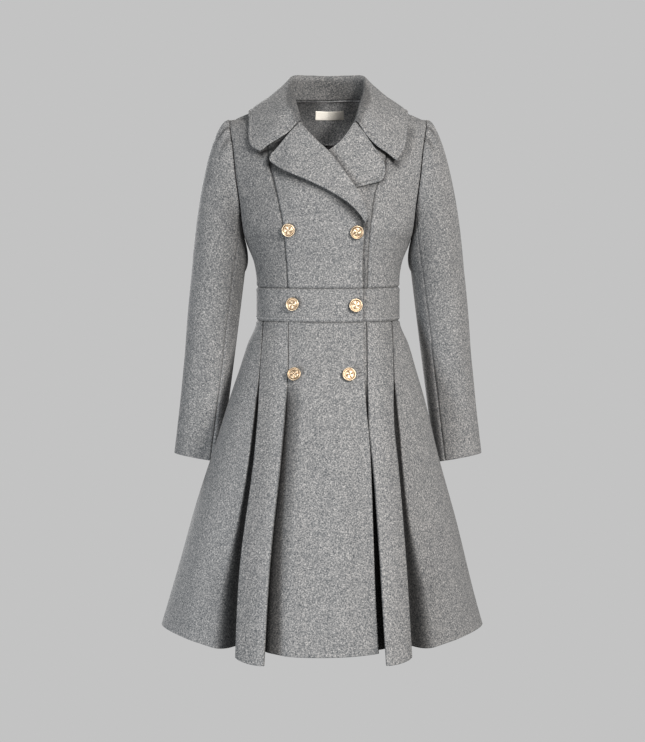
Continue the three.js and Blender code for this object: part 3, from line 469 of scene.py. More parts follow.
class Nodes:
    """A material's nodes, with short calls to add and join them."""

    def __init__(self, name):
        self.material = bpy.data.materials.new(name)
        self.material.use_nodes = True
        self.tree = self.material.node_tree
        self.shader = self.tree.nodes["Principled BSDF"]
        self.place = self.add("ShaderNodeTexCoord").outputs["Object"]

    def add(self, kind, **values):
        node = self.tree.nodes.new(kind)
        for key, value in values.items():
            if key in node.inputs:
                node.inputs[key].default_value = value
            else:
                setattr(node, key, value)
        return node

    def link(self, a, b):
        self.tree.links.new(a, b)

    def noise(self, scale, detail=2.0, roughness=0.5, stretch=None, turn=(0, 0, 0), distortion=0.0):
        place = self.place
        if stretch:
            mapping = self.add("ShaderNodeMapping")
            mapping.inputs["Scale"].default_value = stretch
            mapping.inputs["Rotation"].default_value = turn
            self.link(place, mapping.inputs["Vector"])
            place = mapping.outputs["Vector"]
        node = self.add("ShaderNodeTexNoise", Scale=scale, Detail=detail, Roughness=roughness,
                        Distortion=distortion)
        self.link(place, node.inputs["Vector"])
        return node.outputs["Fac"]

    def math(self, kind, a, b, c=None):
        node = self.add("ShaderNodeMath", operation=kind)
        for k, value in enumerate((a, b, c)):
            if value is None:
                continue
            if isinstance(value, (int, float)):
                node.inputs[k].default_value = value
            else:
                self.link(value, node.inputs[k])
        return node.outputs[0]

    def ramp(self, value, stops):
        node = self.add("ShaderNodeValToRGB")
        ramp = node.color_ramp
        while len(ramp.elements) < len(stops):
            ramp.elements.new(0.5)
        for element, (place, colour) in zip(ramp.elements, stops):
            element.position = place
            element.color = (*colour, 1)
        self.link(value, node.inputs["Fac"])
        return node.outputs["Color"]

    def toned(self, colour):
        """A colour times the mesh's own tone, which holds the painted light and shade."""
        tone = self.add("ShaderNodeAttribute", attribute_name="tone").outputs["Fac"]
        scaled = self.add("ShaderNodeVectorMath", operation="SCALE")
        self.link(colour, scaled.inputs[0])
        self.link(tone, scaled.inputs["Scale"])
        return scaled.outputs[0]

    def axes(self):
        """The place on the piece as its X, Y and Z."""
        node = self.add("ShaderNodeSeparateXYZ")
        self.link(self.place, node.inputs[0])
        return node.outputs

    def wave(self, value, pace):
        """A sine along a value, which turns by pace radians for each metre."""
        return self.math("SINE", self.math("MULTIPLY", value, pace), 0)

    def finished(self, colour, values):
        """The material, with its colour joined and its constant values set."""
        self.link(colour, self.shader.inputs["Base Color"])
        for key, value in values.items():
            self.shader.inputs[key].default_value = value
        return self.material

    def bump(self, height, strength, distance):
        node = self.add("ShaderNodeBump")
        node.inputs["Strength"].default_value = strength
        node.inputs["Distance"].default_value = distance
        self.link(height, node.inputs["Height"])
        self.link(node.outputs["Normal"], self.shader.inputs["Normal"])


def grey(v, warm=0.0):
    return (v * (1 + warm), v, v * (1 - warm))


def make_wool(name, level, warm=0.0):
    """Melange coating: light and dark fibres mixed in flecks under a short felted nap."""
    n = Nodes(name)
    fleck = n.noise(430, 3, 0.62, distortion=0.35)
    fibre_a = n.noise(300, 2, 0.5, stretch=(1, 1, 4.5), turn=(0.3, 0.5, 0.2))
    fibre_b = n.noise(300, 2, 0.5, stretch=(4.5, 1, 1), turn=(0.1, 0.6, 0.9))
    cloud = n.noise(46, 2, 0.5)
    mixed = n.math("ADD", n.math("MULTIPLY", fleck, 0.5), n.math("MULTIPLY", fibre_a, 0.25))
    mixed = n.math("ADD", mixed, n.math("MULTIPLY", fibre_b, 0.25))
    mixed = n.math("ADD", mixed, n.math("MULTIPLY_ADD", cloud, 0.03, -0.015))
    colour = n.ramp(mixed, [
        (0.38, grey(level * 0.30, warm - 0.08)), (0.455, grey(level * 0.64, warm - 0.035)),
        (0.505, grey(level * 0.97, warm)), (0.555, grey(level * 1.40, warm + 0.02)),
        (0.62, grey(min(0.95, level * 2.25), warm + 0.03))])
    n.bump(n.math("ADD", n.math("MULTIPLY", fleck, 0.6), n.math("MULTIPLY", fibre_a, 0.4)), 0.55, 0.0009)
    return n.finished(n.toned(colour), {"Roughness": 0.92, "Specular IOR Level": 0.05,
                                        "Sheen Weight": 0.03, "Sheen Roughness": 0.55})


def make_lining():
    n = Nodes("lining_twill")
    axes = n.axes()
    n.bump(n.wave(n.math("ADD", axes["X"], axes["Z"]), 5200), 0.15, 0.0002)
    colour = n.ramp(n.noise(30, 2), [(0.3, (0.165, 0.150, 0.162)), (0.7, (0.225, 0.205, 0.218))])
    return n.finished(n.toned(colour), {"Roughness": 0.46, "Sheen Weight": 0.15})


def make_gold():
    n = Nodes("pale_gold")
    wear = n.noise(260, 3, 0.6)
    colour = n.ramp(wear, [(0.3, (0.34, 0.255, 0.165)), (0.7, (0.48, 0.385, 0.275))])
    n.link(n.math("MULTIPLY_ADD", wear, 0.2, 0.36), n.shader.inputs["Roughness"])
    n.bump(wear, 0.12, 0.0003)
    return n.finished(colour, {"Metallic": 1.0})


def make_gold_dark():
    n = Nodes("gold_recess")
    colour = n.ramp(n.noise(300, 3), [(0.3, (0.13, 0.08, 0.045)), (0.7, (0.26, 0.17, 0.10))])
    return n.finished(colour, {"Metallic": 0.9, "Roughness": 0.5})


def make_tape():
    n = Nodes("label_tape")
    axes = n.axes()
    weave = n.math("MULTIPLY", n.wave(axes["X"], 9000), n.wave(axes["Z"], 9000))
    colour = n.ramp(n.math("MULTIPLY_ADD", weave, 0.5, 0.5), [
        (0.0, (0.58, 0.55, 0.49)), (1.0, (0.72, 0.69, 0.63))])
    n.bump(weave, 0.3, 0.0002)
    return n.finished(colour, {"Roughness": 0.7})


def make_thread():
    n = Nodes("grey_thread")
    colour = n.ramp(n.noise(900, 2), [(0.3, grey(0.17)), (0.7, grey(0.30))])
    return n.finished(colour, {"Roughness": 0.6, "Sheen Weight": 0.1})


def make_floor():
    """Plain and pale, and clear towards its rim, so that no edge shows."""
    n = Nodes("pale_floor")
    axes = n.axes()
    square = n.math("ADD", n.math("POWER", axes["X"], 2), n.math("POWER", axes["Y"], 2))
    fade = n.math("SQRT", square, 0)
    alpha = n.ramp(n.math("DIVIDE", fade, FLOOR_RADIUS), [(0.62, grey(1.0)), (0.98, grey(0.0))])
    n.link(alpha, n.shader.inputs["Alpha"])
    n.shader.inputs["Base Color"].default_value = (0.3, 0.3, 0.3, 1)
    n.shader.inputs["Roughness"].default_value = 0.9
    return n.material


WOOL_LEVEL = 0.110
wool = make_wool("grey_melange_wool", WOOL_LEVEL)
facing_wool = make_wool("facing_melange_wool", WOOL_LEVEL, -0.01)
lining = make_lining()
gold, gold_dark = make_gold(), make_gold_dark()
tape, thread = make_tape(), make_thread()


# Bodice

# Turns of the shoulder's rounding where a panel has a row, in degrees from its top
SHOULDER_TURNS = (0, 1.2, 2.6, 4.2, 6, 9, 13, 18, 24, 31, 38, 46, 54, 62, 70, 78, 85)


def bodice_grid(side, start, end, lift, top):
    """Middle points of a bodice panel between two seams given as x at each height."""
    width = max(abs(end(z) - start(z)) for z in np.linspace(-20, -320, 7)) + 20
    across = shares(width, 6.0)

    def angle_of(z):
        first = angle_at(start(z), z, side)
        return first + (angle_at(end(z), z, side) - first) * across

    rows = []
    for turn in np.radians(SHOULDER_TURNS):
        z = np.full_like(across, NECK_Z)
        for _ in range(8):
            z = top(body(angle_of(z), z, side)[..., 0]) - ROUNDING[side] * (1 - np.cos(turn))
        rows.append(z)
    rounded, bottom = rows[-1], band_top(angle_of(np.full_like(across, BAND_TOP)))
    rows += [mix(rounded, bottom, t) for t in shares(250, GRID_STEP, start=False)[1:]]
    z = np.array(rows)
    return laid(angle_of(z), z, side, lift)


BODICE_CREASES = [
    (-1, -128, -262, -92, -282, 1.2, 9), (-1, 128, -258, 90, -280, 1.2, 9),
    (-1, -122, -292, -84, -300, 0.9, 7), (-1, 120, -290, 84, -302, 0.9, 7),
    (-1, -150, -160, -120, -200, 1.0, 12), (-1, 148, -150, 118, -196, 1.0, 12),
    (-1, -20, -285, 35, -296, 0.7, 9), (1, -90, -290, -20, -300, 1.3, 10),
    (1, 20, -286, 96, -298, 1.2, 9), (1, -140, -180, -110, -225, 1.2, 13),
    (1, 138, -172, 108, -222, 1.2, 13), (1, -30, -262, 40, -270, 0.8, 9),
]

RIGHT_LAPEL_EDGE = [(-98, -108), (-85, -127), (-59, -142), (-29, -156), (7, -177), (35, -196),
                    (52, -212), (62, -226)]
FRONT_EDGE = [(66, -215), (63, -245), (62, -400), (64, -500)]
# Shades on the fronts, as lines in the front view with a width and a depth: first the overlap's own
RIGHT_SHADES = [
    ([(-56, -55), (-78, -82), (-97, -104), (-101, -118)], 7.5, 0.9),
    ([(-101, -118), (-96, -140), (-90, -170)], 3, 0.5),
    ([(-116, -97), (-98, -89), (-84, -77), (-70, -63)], 8, 0.95),
    ([(-95, -124), (-67, -138), (-39, -151)], 11, 0.35),
    (RIGHT_LAPEL_EDGE, 8, 0.46),
    ([(22, -184), (38, -200), (52, -214), (61, -228)], 7, 0.6),
    ([(-104, -88), (-119, -98), (-136, -88), (-142, -60)], 7, 0.30),
]
FRONT_SHADES = [
    *RIGHT_SHADES,
    ([(70, -68), (88, -86), (119, -116)], 6, 0.72),
    ([(119, -116), (138, -92), (145, -55)], 9, 0.42),
    ([(99, -112), (98.5, -128), (94.5, -148), (66, -160)], 4.5, 0.6),
    (FRONT_EDGE, 4.5, 0.45),
]
LAPEL_SHADES = [
    ([(4, -103), (21, -126), (37, -149), (55, -177)], 6, 0.55),
    ([(72, -70), (88, -86), (119, -116)], 3.5, 0.5),
]
# Painted light and shade on these panels: the right front side panel of the chest darker, the right front
# side panel of the skirt lighter
PAINTED_PANEL_LIGHT = {"front_side_right": 0.86, "skirt_side_front_right": 1.1}


def princess(name, sign):
    return lambda z: sign * column(PRINCESS, name, z)


def half_line(sign):
    return lambda z: sign * column(BODY, "half", z)


def setback(z):
    return ROLL_SETBACK * smooth((z + 226) / 12)


def add_bodice():
    plans = [
        ("front_centre_right", "front", princess("right", -1),
         lambda z: column(RIGHT_EDGE, "x", z) - setback(z), overlap_lift, shoulder_z, "edge"),
        ("front_centre_left", "front", princess("left", 1),
         lambda z: column(LEFT_EDGE, "x", z) + setback(z), no_lift, shoulder_z, None),
        ("back_centre", "back", princess("back", -1), princess("back", 1), no_lift, back_neck_z, "seam"),
    ]
    for hand, sign in SIGN.items():
        for side, seam, top in (("front", hand, shoulder_z), ("back", "back", back_neck_z)):
            plans.append((f"{side}_side_{hand}", side, princess(seam, sign), half_line(sign),
                          no_lift, top, "soft"))
    for name, side, start, end, lift, top, last in plans:
        mid = bodice_grid(side, start, end, lift, top)
        shades = RIGHT_SHADES if name == "front_centre_right" else FRONT_SHADES
        Shell(f"{name}_cloth", mid, name, {**SEAMED, "start": "seam", "end": last},
              creases=BODICE_CREASES, shades=shades, tone=PAINTED_PANEL_LIGHT.get(name, 1.0))


# Waistband

def add_waistband():
    """The three pieces of the waistband, the overlap first."""
    middle = (BAND_TOP + BAND_BOTTOM) / 2
    front = float(angle_at(column(RIGHT_EDGE, "x", middle), middle, "front"))
    under = float(angle_at(UNDERLAP_X, middle, "front"))
    plans = [
        ("waistband_front_right", "front", math.pi, front, overlap_lift, "edge", ()),
        ("waistband_front_left", "front", 0.0, under, no_lift, "edge", [(FRONT_EDGE, 4.0, 0.3)]),
        ("waistband_back", "back", -math.pi, 0.0, no_lift, "seam", ()),
    ]
    across, down = shares(270, 4), shares(60, 4)[:, None]
    bands = []
    for name, side, start, end, lift, last, shades in plans:
        angle = mix(start, end, across) + 0 * down
        z = mix(band_top(angle), band_bottom(angle), down)
        mid = laid(angle, z, side, lift)
        ripple = 0.35 * np.sin(mid[..., 0] / 17 + 1.3) * np.sin(np.pi * down)
        bands.append(Shell(f"{name}_cloth", mid, name, {**SEAMED, "start": "seam", "end": last},
                           extra=ripple, shades=shades))
    return bands


# Skirt

def opened(z):
    return np.clip((SLIT_TOP - z) / (SLIT_TOP - HEM["lowest"]), 0, 1)


def raised(height):
    return lambda s: height * s ** 1.2


def sunk(depth):
    return lambda s: -depth * s


def returned(depth):
    return lambda s: -ALLOWANCE - (depth - ALLOWANCE) * s


# Corners of the pleats: distance from the middle, lift, fold radius by the hem and height of the hem
CORNERS = {
    "side_fold": (lambda p, s: p["fold"], sunk(7), 22, "fold"),
    "side_return": (lambda p, s: p["outer"] + OUTER_GAP - 24.5 * s, returned(OUTER_DEPTH), 4, "side_inner"),
    "outer_return": (lambda p, s: p["outer"] - 27 * s, returned(OUTER_DEPTH), 4, "pleat_outer"),
    "outer": (lambda p, s: p["outer"], raised(22), 5, "pleat_outer"),
    "inner": (lambda p, s: p["inner"], raised(34), 5, "pleat_inner"),
    "inner_return": (lambda p, s: p["inner"] + 10 * s, returned(INNER_DEPTH), 4, "pleat_inner"),
    "centre_return": (lambda p, s: p["inner"] - INNER_GAP + 8 * s, returned(INNER_DEPTH), 4, "centre_end"),
    "centre_fold": (lambda p, s: p["inner"] - INNER_GAP + 4 * s, sunk(13), 14, "centre_end"),
    "under_fold": (lambda p, s: p["inner"] - INNER_GAP - 22 * s, sunk(4), 6, "under_fold"),
}
DOWN = shares(565, GRID_STEP)
RETURN_STEPS, TIGHT_FOLD, WIDE_FOLD = 10, 9, 13


def corner(name, rows, sign, side):
    """A pleat corner all the way down: angle, lift, hem and points."""
    place, height, radius, hem = CORNERS[name]
    turn = angle_at(sign * rows["fold"][-1], BAND_BOTTOM, side)
    z = mix(band_bottom(turn), HEM[hem], DOWN)
    s = opened(z)
    parts = {key: column(rows, key, z) for key in ("fold", "outer", "inner")}
    x = column(BODY, "sway", z) + sign * place(parts, s)
    lift = height(s)
    angle = angle_at(x, z, side)
    for _ in range(3):
        angle = angle_at(x - outward(angle, z, side)[..., 0] * lift, z, side)
    return {"angle": angle, "lift": lift, "hem": HEM[hem], "radius": mix(1.4, radius, s ** 1.8)[:, None],
            "points": lifted(angle, z, lift, side)}


def fold(before, here, after, steps):
    """Points of a rounded fold at a corner between two neighbours."""
    point = here["points"]

    def towards(end):
        way = end - point
        size = np.linalg.norm(way, axis=-1, keepdims=True)
        return point + way / size * np.minimum(here["radius"], size * 0.45)

    a, b = towards(before), towards(after)
    t = np.linspace(0, 1, steps)[:, None, None]
    return list((1 - t) ** 2 * a + 2 * t * (1 - t) * point + t ** 2 * b)


def face(a, b, steps, side, lift=no_lift, fade=RECESS_FADE, sag=0):
    """Lines of cloth down between two corners, without the corners' own lines."""
    points = []
    for t in np.linspace(0, 1, steps + 1)[1:-1]:
        angle = mix(a["angle"], b["angle"], t)
        hem = mix(a["hem"], b["hem"], 1 - (1 - t) ** 2.5) - sag * 4 * t * (1 - t)
        z = mix(band_bottom(angle), hem, DOWN)
        up = a["lift"] * (1 - t) ** fade + b["lift"] * t ** fade
        up = up + lift(body(angle, z, side)[..., 0], z)
        points.append(lifted(angle, z, up, side))
    return points


def station(angle_of, hem, side, lift=no_lift):
    """A panel's last line, on the body."""
    first = angle_of(np.full_like(DOWN, BAND_BOTTOM))
    z = mix(band_bottom(first), hem, DOWN)
    angle = angle_of(z)
    return {"angle": angle, "lift": 0 * DOWN, "hem": hem, "points": laid(angle, z, side, lift)}


def between(a, b, steps):
    return [mix(a, b, t) for t in np.linspace(0, 1, steps + 1)[1:-1]]


def turned_in(end, edge, after, steps):
    """A return and the fold that follows it, from the return's own border on."""
    inner = end["points"]
    turn = fold(inner, edge, after, steps)
    return [inner, *between(inner, turn[0], RETURN_STEPS), *turn]


def folded_in(end, edge, flat, taken):
    """A return and its wide fold, which takes the place of a panel's first lines."""
    return [*turned_in(end, edge, flat[taken], WIDE_FOLD), *flat[taken + 1:]]

SKIRT_CREASES = [
    (-1, -160, -540, -205, -930, 4.6, 21), (-1, -205, -600, -255, -930, -4.2, 23),
    (-1, 165, -540, 208, -930, 4.4, 21), (-1, 208, -600, 250, -930, -4.4, 23),
    (-1, -40, -600, -48, -955, -2.0, 22), (-1, 10, -560, 8, -955, 1.8, 20),
    (-1, 44, -600, 48, -955, -1.6, 18), (1, -150, -560, -205, -930, 3.0, 22),
    (1, 150, -560, 200, -930, 3.0, 22), (1, -205, -640, -250, -930, -2.6, 22),
    (1, 205, -640, 240, -930, -2.6, 22), (1, -30, -600, -38, -950, 2.6, 24),
    (1, 20, -560, 26, -950, -2.2, 22),
]

# How far past its fold a panel lies in the shade of its pleat, by the share of the way down
CENTRE_SHADE = ([0, 0.1, 0.25, 0.45, 0.65, 0.8, 1], [1.5, 9, 22, 26, 29, 31, 33])
SIDE_SHADE = ([0, 0.3, 0.45, 0.55, 0.65, 0.78, 1], [1.5, 2.5, 4, 7, 13, 23, 29])
BACK_SHADE = ([0, 0.3, 0.6, 1], [1.5, 6, 14, 20])
PLEAT_SHADE = ([0, 1], [1.5, 3])
# Depth of the painted shade past an open fold and in most returns, and in a pleat panel's returns
OPEN_DARK, PLEAT_DARK = 0.84, 0.3


def painted_pleat_shade(mid, shade, both, depth):
    """Painted shade where the cloth turns back inside a pleat, and a little past the open fold."""
    share = opened(mid[..., 2])
    reach = np.interp(share, *shade)
    along, rest = lengths(mid, 1)
    folds = [along - along[:, [RETURN_STEPS]]]
    if both:
        folds.append(rest - rest[:, [-1 - RETURN_STEPS]])
    tone = 1.0
    for past in folds:
        inner = depth * mix(0.8, 1, np.clip(1 + past / 14, 0, 1))
        outer = OPEN_DARK * np.exp(-(np.maximum(past, 0) / reach) ** 3.6)
        tone = tone * (1 - np.where(past < 0, inner, outer) * mix(0.35, 1, smooth(share * 9)))
    return tone


def skirt_shell(name, lines, kinds, shade, both=False, tone=1.0, depth=OPEN_DARK):
    mid = np.stack(lines, axis=1)
    return Shell(f"{name}_cloth", mid, name, {**HEMMED, **kinds}, creases=SKIRT_CREASES, turned=True,
                 tone=painted_pleat_shade(mid, shade, both, depth) * tone)


def painted_pleat_panel_light(lines, rows, sign):
    """Painted light and shade on a pleat panel, which turns a little to the middle: lighter on its inner
    side, darker on its outer side.
    """
    mid = np.stack(lines, axis=1)
    outer, inner = (column(rows, key, mid[..., 2]) for key in ("outer", "inner"))
    share = np.clip((sign * mid[..., 0] - inner) / (outer - inner), 0, 1)
    return mix(1.10, 0.86, smooth(share))


def add_pleat_panel(name, rows, sign, side):
    outer_return, outer, inner, inner_return = (
        corner(k, rows, sign, side) for k in ("outer_return", "outer", "inner", "inner_return"))
    lines = [*turned_in(outer_return, outer, inner["points"], TIGHT_FOLD),
             *face(outer, inner, 11, side, fade=1),
             *turned_in(inner_return, inner, outer["points"], TIGHT_FOLD)[::-1]]
    skirt_shell(name, lines, {}, PLEAT_SHADE, both=True, tone=painted_pleat_panel_light(lines, rows, sign),
                depth=PLEAT_DARK)


def add_side_panel(name, rows, sign, side):
    seam = (0.0 if sign > 0 else math.pi) * (1 if side == "front" else -1)
    end, edge = (corner(k, rows, sign, side) for k in ("side_return", "side_fold"))
    last = station(lambda z: np.full_like(z, seam), HEM["side"], side)
    lines = [*folded_in(end, edge, face(edge, last, 38, side), 8), last["points"]]
    skirt_shell(name, lines, {"end": "seam"}, SIDE_SHADE, tone=PAINTED_PANEL_LIGHT.get(name, 1.0))


def add_front_panel(name, rows, sign, fold_name, edge_x, hem, sag, lift):
    end, edge = (corner(k, rows, sign, "front") for k in ("centre_return", fold_name))
    last = station(lambda z: angle_at(edge_x(z), z, "front"), hem, "front", lift)
    flat = face(edge, last, 34, "front", lift, sag=sag)
    close = [mix(flat[-1], last["points"], t) for t in (0.3, 0.55, 0.75, 0.9)]
    lines = [*folded_in(end, edge, flat, 6), *close, last["points"]]
    return skirt_shell(name, lines, {"end": "edge"}, CENTRE_SHADE)


def add_back_panel(name, rows):
    (end_a, edge_a), (end_b, edge_b) = (
        [corner(k, rows, sign, "back") for k in ("centre_return", "centre_fold")] for sign in (-1, 1))
    lines = folded_in(end_a, edge_a, face(edge_a, edge_b, 34, "back", sag=HEM_SAG), 6)
    lines = folded_in(end_b, edge_b, lines[::-1], 6)[::-1]
    skirt_shell(name, lines, {}, BACK_SHADE, both=True)


def add_skirt():
    """All of the skirt. The overlap's panel comes back, for its stitches."""
    overlap = add_front_panel(
        "skirt_front_right", PLEATS["right"], -1, "centre_fold",
        lambda z: column(RIGHT_EDGE, "x", z), HEM["centre_end"], HEM_SAG,
        lambda x, z: OVERLAP_LIFT * smooth((x + 96) / 20))
    add_front_panel(
        "skirt_front_left", PLEATS["left"], 1, "under_fold",
        lambda z: np.full_like(z, UNDERLAP_X), HEM["underlap"], 0, no_lift)
    add_back_panel("skirt_back_centre", PLEATS["back"])
    for hand, sign in SIGN.items():
        for side, rows in (("front", PLEATS[hand]), ("back", PLEATS["back"])):
            add_pleat_panel(f"skirt_pleat_{side}_{hand}", rows, sign, side)
            add_side_panel(f"skirt_side_{side}_{hand}", rows, sign, side)
    return overlap


# Sleeves

def armhole(angle):
    z = ARMHOLE_Z + ARMHOLE_HALF * np.cos(angle)
    reach = np.where(np.sin(angle) >= 0, ARMHOLE_FRONT, ARMHOLE_BACK)
    return xyz(column(BODY, "half", z), SIDE_Y - reach * np.sin(angle), z)


def sleeve_ring(angle, z):
    x = column(SLEEVE, "x", z) + column(SLEEVE, "wide", z) * np.cos(angle)
    y = column(SLEEVE, "y", z) - column(SLEEVE, "deep", z) * np.sin(angle)
    return xyz(x, y, z + column(SLEEVE, "tilt", z) * np.cos(angle))


# The cap's share of the way down the sleeve, and the scale of turns where folds are laid out
CAP_SHARE, TURN_REACH = 0.45, 0.45
# Tucks at the sleeve's head: turn from its outer side, depth and width, with the angles in degrees
TUCKS = [(-62, 2.2, 6.0), (-41, 2.8, 5.0), (-22, 2.6, 5.0), (-4, 3.0, 4.5), (13, 2.6, 4.5),
         (31, 3.0, 5.0), (50, 2.4, 6.0)]


def cap(angle, share, puff):
    start, end = armhole(angle), sleeve_ring(angle, CAP_END + 0 * angle)
    head = (1 + np.cos(angle)) / 2
    start[..., 0] += 2.7 * np.sqrt(1 - head)
    rounded = xyz(0 * angle, -np.sin(angle), np.cos(angle))
    rise = start + rounded * (3 * head)[..., None]
    rise[..., 0] += 1 + puff * head
    fall = end.copy()
    fall[..., 2] += 18 + 112 * head
    fall[..., 0] -= 9 * head + 12 * (1 - head)
    t = np.broadcast_to(share, angle.shape)[..., None]
    k = 1 - t
    return k ** 3 * start + 3 * k * k * t * rise + 3 * k * t * t * fall + t ** 3 * end


# Soft folds down the sleeve: way down and half turns at both ends, depth and width
SLEEVE_CREASES = [
    (0.42, 0.10, 0.55, 0.62, 2.4, 0.055), (0.50, -0.75, 0.60, -0.20, 2.2, 0.05),
    (0.57, 0.30, 0.66, 0.95, 2.0, 0.045), (0.64, -0.60, 0.70, 0.05, 1.8, 0.045),
    (0.33, -0.20, 0.44, -0.80, 1.8, 0.06), (0.74, 0.20, 0.82, 0.75, 1.4, 0.05),
    (0.80, -0.55, 0.86, -0.05, 1.3, 0.05), (0.28, 0.35, 0.40, 0.95, 1.6, 0.06),
]


def sleeve_shift(angle, share, hand):
    """Tucks at the head and soft folds down the arm, by turn round the sleeve and way down it."""
    turn = np.arctan2(np.sin(angle), np.cos(angle))
    degrees = np.degrees(turn)
    shift = np.zeros(np.broadcast(turn, share).shape)
    for place, depth, width in TUCKS:
        shift -= depth * bell(degrees, place, width) * bell(share, 0.045, 0.07)
        shift += 0.5 * depth * bell(degrees, place + 1.15 * width, width) * bell(share, 0.04, 0.06)
    for s0, a0, s1, a1, depth, width in SLEEVE_CREASES:
        a0, a1 = (a0, a1) if hand == "left" else (a0 * 0.85 + 0.1, a1 * 0.9 - 0.08)
        along, off = from_line(share, turn / math.pi * TURN_REACH, s0, a0 * TURN_REACH, s1, a1 * TURN_REACH)
        shift -= depth * bell(off, 0, width) * np.sin(np.pi * np.clip(along, 0.03, 0.97)) ** 0.5
    return shift


# Soft lights and shades on a sleeve: way down it, turn from its outer side, reaches and strength
SLEEVE_SHADES = {
    "right": [(0.35, 5, 0.35, 28, 0.40), (0.22, 118, 0.16, 42, -0.36), (0.46, 130, 0.16, 55, -0.20),
              (1.05, 160, 0.20, 42, 1.20)],
    "left": [(0.35, 5, 0.35, 25, 0.12), (0.34, 100, 0.22, 50, -0.20), (0.74, 178, 0.13, 32, 1.00),
             (1.00, 85, 0.18, 45, 0.36)],
}


def placed_tone(turn, share, hand):
    """The sleeve's lights and shades, in full on its front half and weaker behind."""
    degrees = np.abs(np.degrees(turn))
    tone = 1.0
    for way, place, way_reach, reach, strength in SLEEVE_SHADES[hand]:
        tone = tone * (1 + strength * bell(share, way, way_reach) * bell(degrees, place, reach))
    return 1 + (tone - 1) * mix(0.35, 1, smooth((np.sin(turn) + 0.3) / 0.6))


def painted_sleeve_shade(angle, share, hand):
    """Painted shade and light on the sleeve: darker towards the body and under the arm, though lighter there
    near the cuff, and darker in the tucks at its head.
    """
    turn = np.arctan2(np.sin(angle), np.cos(angle))
    inner = smooth((np.abs(turn) - math.radians(88)) / math.radians(62))
    tone = 1 + inner * np.interp(share, [0, 0.33, 0.6, 0.8, 1], [-0.1, -0.28, -0.1, 0.35, 0.6])
    tone = tone * placed_tone(turn, share, hand)
    for place, depth, width in TUCKS:
        tone = tone * (1 - 0.2 * depth * bell(np.degrees(turn), place, 0.7 * width) * bell(share, 0.05, 0.06))
    return tone


def add_sleeves():
    arm_length = CAP_END - CUFF_Z
    cap_rows = np.concatenate([[0.004, 0.008, 0.014, 0.022, 0.032], np.linspace(0.045, 1, 46)])
    arm_rows = shares(arm_length, GRID_STEP, start=False)[1:]
    way = np.concatenate([cap_rows * CAP_SHARE, mix(CAP_SHARE, 1, arm_rows)])[:, None]
    plans = [("sleeve_top", -SLEEVE_SEAM, SLEEVE_SEAM, 300, 84),
             ("sleeve_under", SLEEVE_SEAM, 2 * math.pi - SLEEVE_SEAM, 110, 30)]
    for hand, sign in SIGN.items():
        for part, start, end, width, count in plans:
            angle = mix(start, end, shares(width, width / count))
            rows = [cap(angle, s, PUFF[hand]) for s in cap_rows]
            rows += [sleeve_ring(angle, CAP_END - t * arm_length + 0 * angle) for t in arm_rows]
            mid = np.array(rows) * (sign, 1, 1)
            name = f"{part}_{hand}"
            Shell(f"{name}_cloth", mid, name,
                  {"start": "soft", "end": "soft", "top": "soft", "bottom": "hem"},
                  centre=(sign * 205, 15), extra=sleeve_shift(angle, way, hand),
                  tone=painted_sleeve_shade(angle, way, hand))


# Collar and lapels

def neck_seam(sign, key, value):
    if key == "x":
        x, z, side = sign * value, float(back_neck_z(value)), "back"
    else:
        x, z, side = float(column(RIGHT_EDGE if sign < 0 else LEFT_EDGE, "x", value)), value, "front"
    seam = body(angle_at(x, z, side), z, side)
    inward = unit(np.array([-seam[0], -seam[1], 0]))
    return seam + inward * 1.9 + np.array([0, 0, 1.3])


def catmull(points, count):
    """A centripetal Catmull-Rom curve, as the part's collar lines are."""
    points = np.asarray(points, float)
    ends = np.concatenate([[2 * points[0] - points[1]], points, [2 * points[-1] - points[-2]]])
    out = []
    for t in np.linspace(0, len(points) - 1, count):
        k = min(int(t), len(points) - 2)
        w = t - k
        p0, p1, p2, p3 = ends[k:k + 4]
        d0, d1, d2 = (max(np.linalg.norm(b - a) ** 0.5, 1e-4) for a, b in ((p0, p1), (p1, p2), (p2, p3)))
        t1 = ((p1 - p0) / d0 - (p2 - p0) / (d0 + d1) + (p2 - p1) / d1) * d1
        t2 = ((p2 - p1) / d1 - (p3 - p1) / (d1 + d2) + (p3 - p2) / d2) * d1
        c2 = -3 * p1 + 3 * p2 - 2 * t1 - t2
        c3 = 2 * p1 - 2 * p2 + t1 + t2
        out.append(p1 + t1 * w + c2 * w * w + c3 * w ** 3)
    return np.array(out)


def resample(path, values, places):
    """Values along a path at places given as lengths from its start."""
    size = np.concatenate([[0], np.cumsum(np.linalg.norm(np.diff(path, axis=0), axis=1))])
    return np.stack([np.interp(places, size, values[:, k]) for k in range(3)], axis=-1)


def path_length(path):
    return np.linalg.norm(np.diff(path, axis=0), axis=1).sum()


def smooth_line(points, places):
    """A section's curve through its points, at places along it from 0 to 1."""
    dense = catmull(points, 200)
    return resample(dense, dense, places * path_length(dense))


def collar_section(n, r, f, e, crown):
    """Points of one section: neck seam, stand, roll, fall and outer edge."""
    away = f - n
    away[2] = 0
    away = away / max(np.linalg.norm(away), 1e-6)
    stand = mix(n, r, 0.55) - away * 0.8
    turn = min(3.2, np.linalg.norm(r - n) * 0.35)
    inner = r - away * turn * 0.8 - np.array([0, 0, turn * 1.1])
    outer = r + away * turn * 1.2 - np.array([0, 0, turn * 0.5])
    upper = mix(outer, f, 0.5) + np.array([0, 0, crown])
    lower = mix(f, e, 0.5) + np.array([0, 0, 1.0])
    return [n, stand, inner, r, outer, upper, f, lower, e]


def collar_rows(hand):
    """The collar's key sections on one hand, from the middle of the back to the front."""
    sign = SIGN[hand]
    flip = np.array([sign, 1, 1])
    every = COLLAR_BACK + COLLAR_END[hand]
    return [(neck_seam(sign, *key), *(np.array(p) * flip for p in rest)) for key, *rest in every]


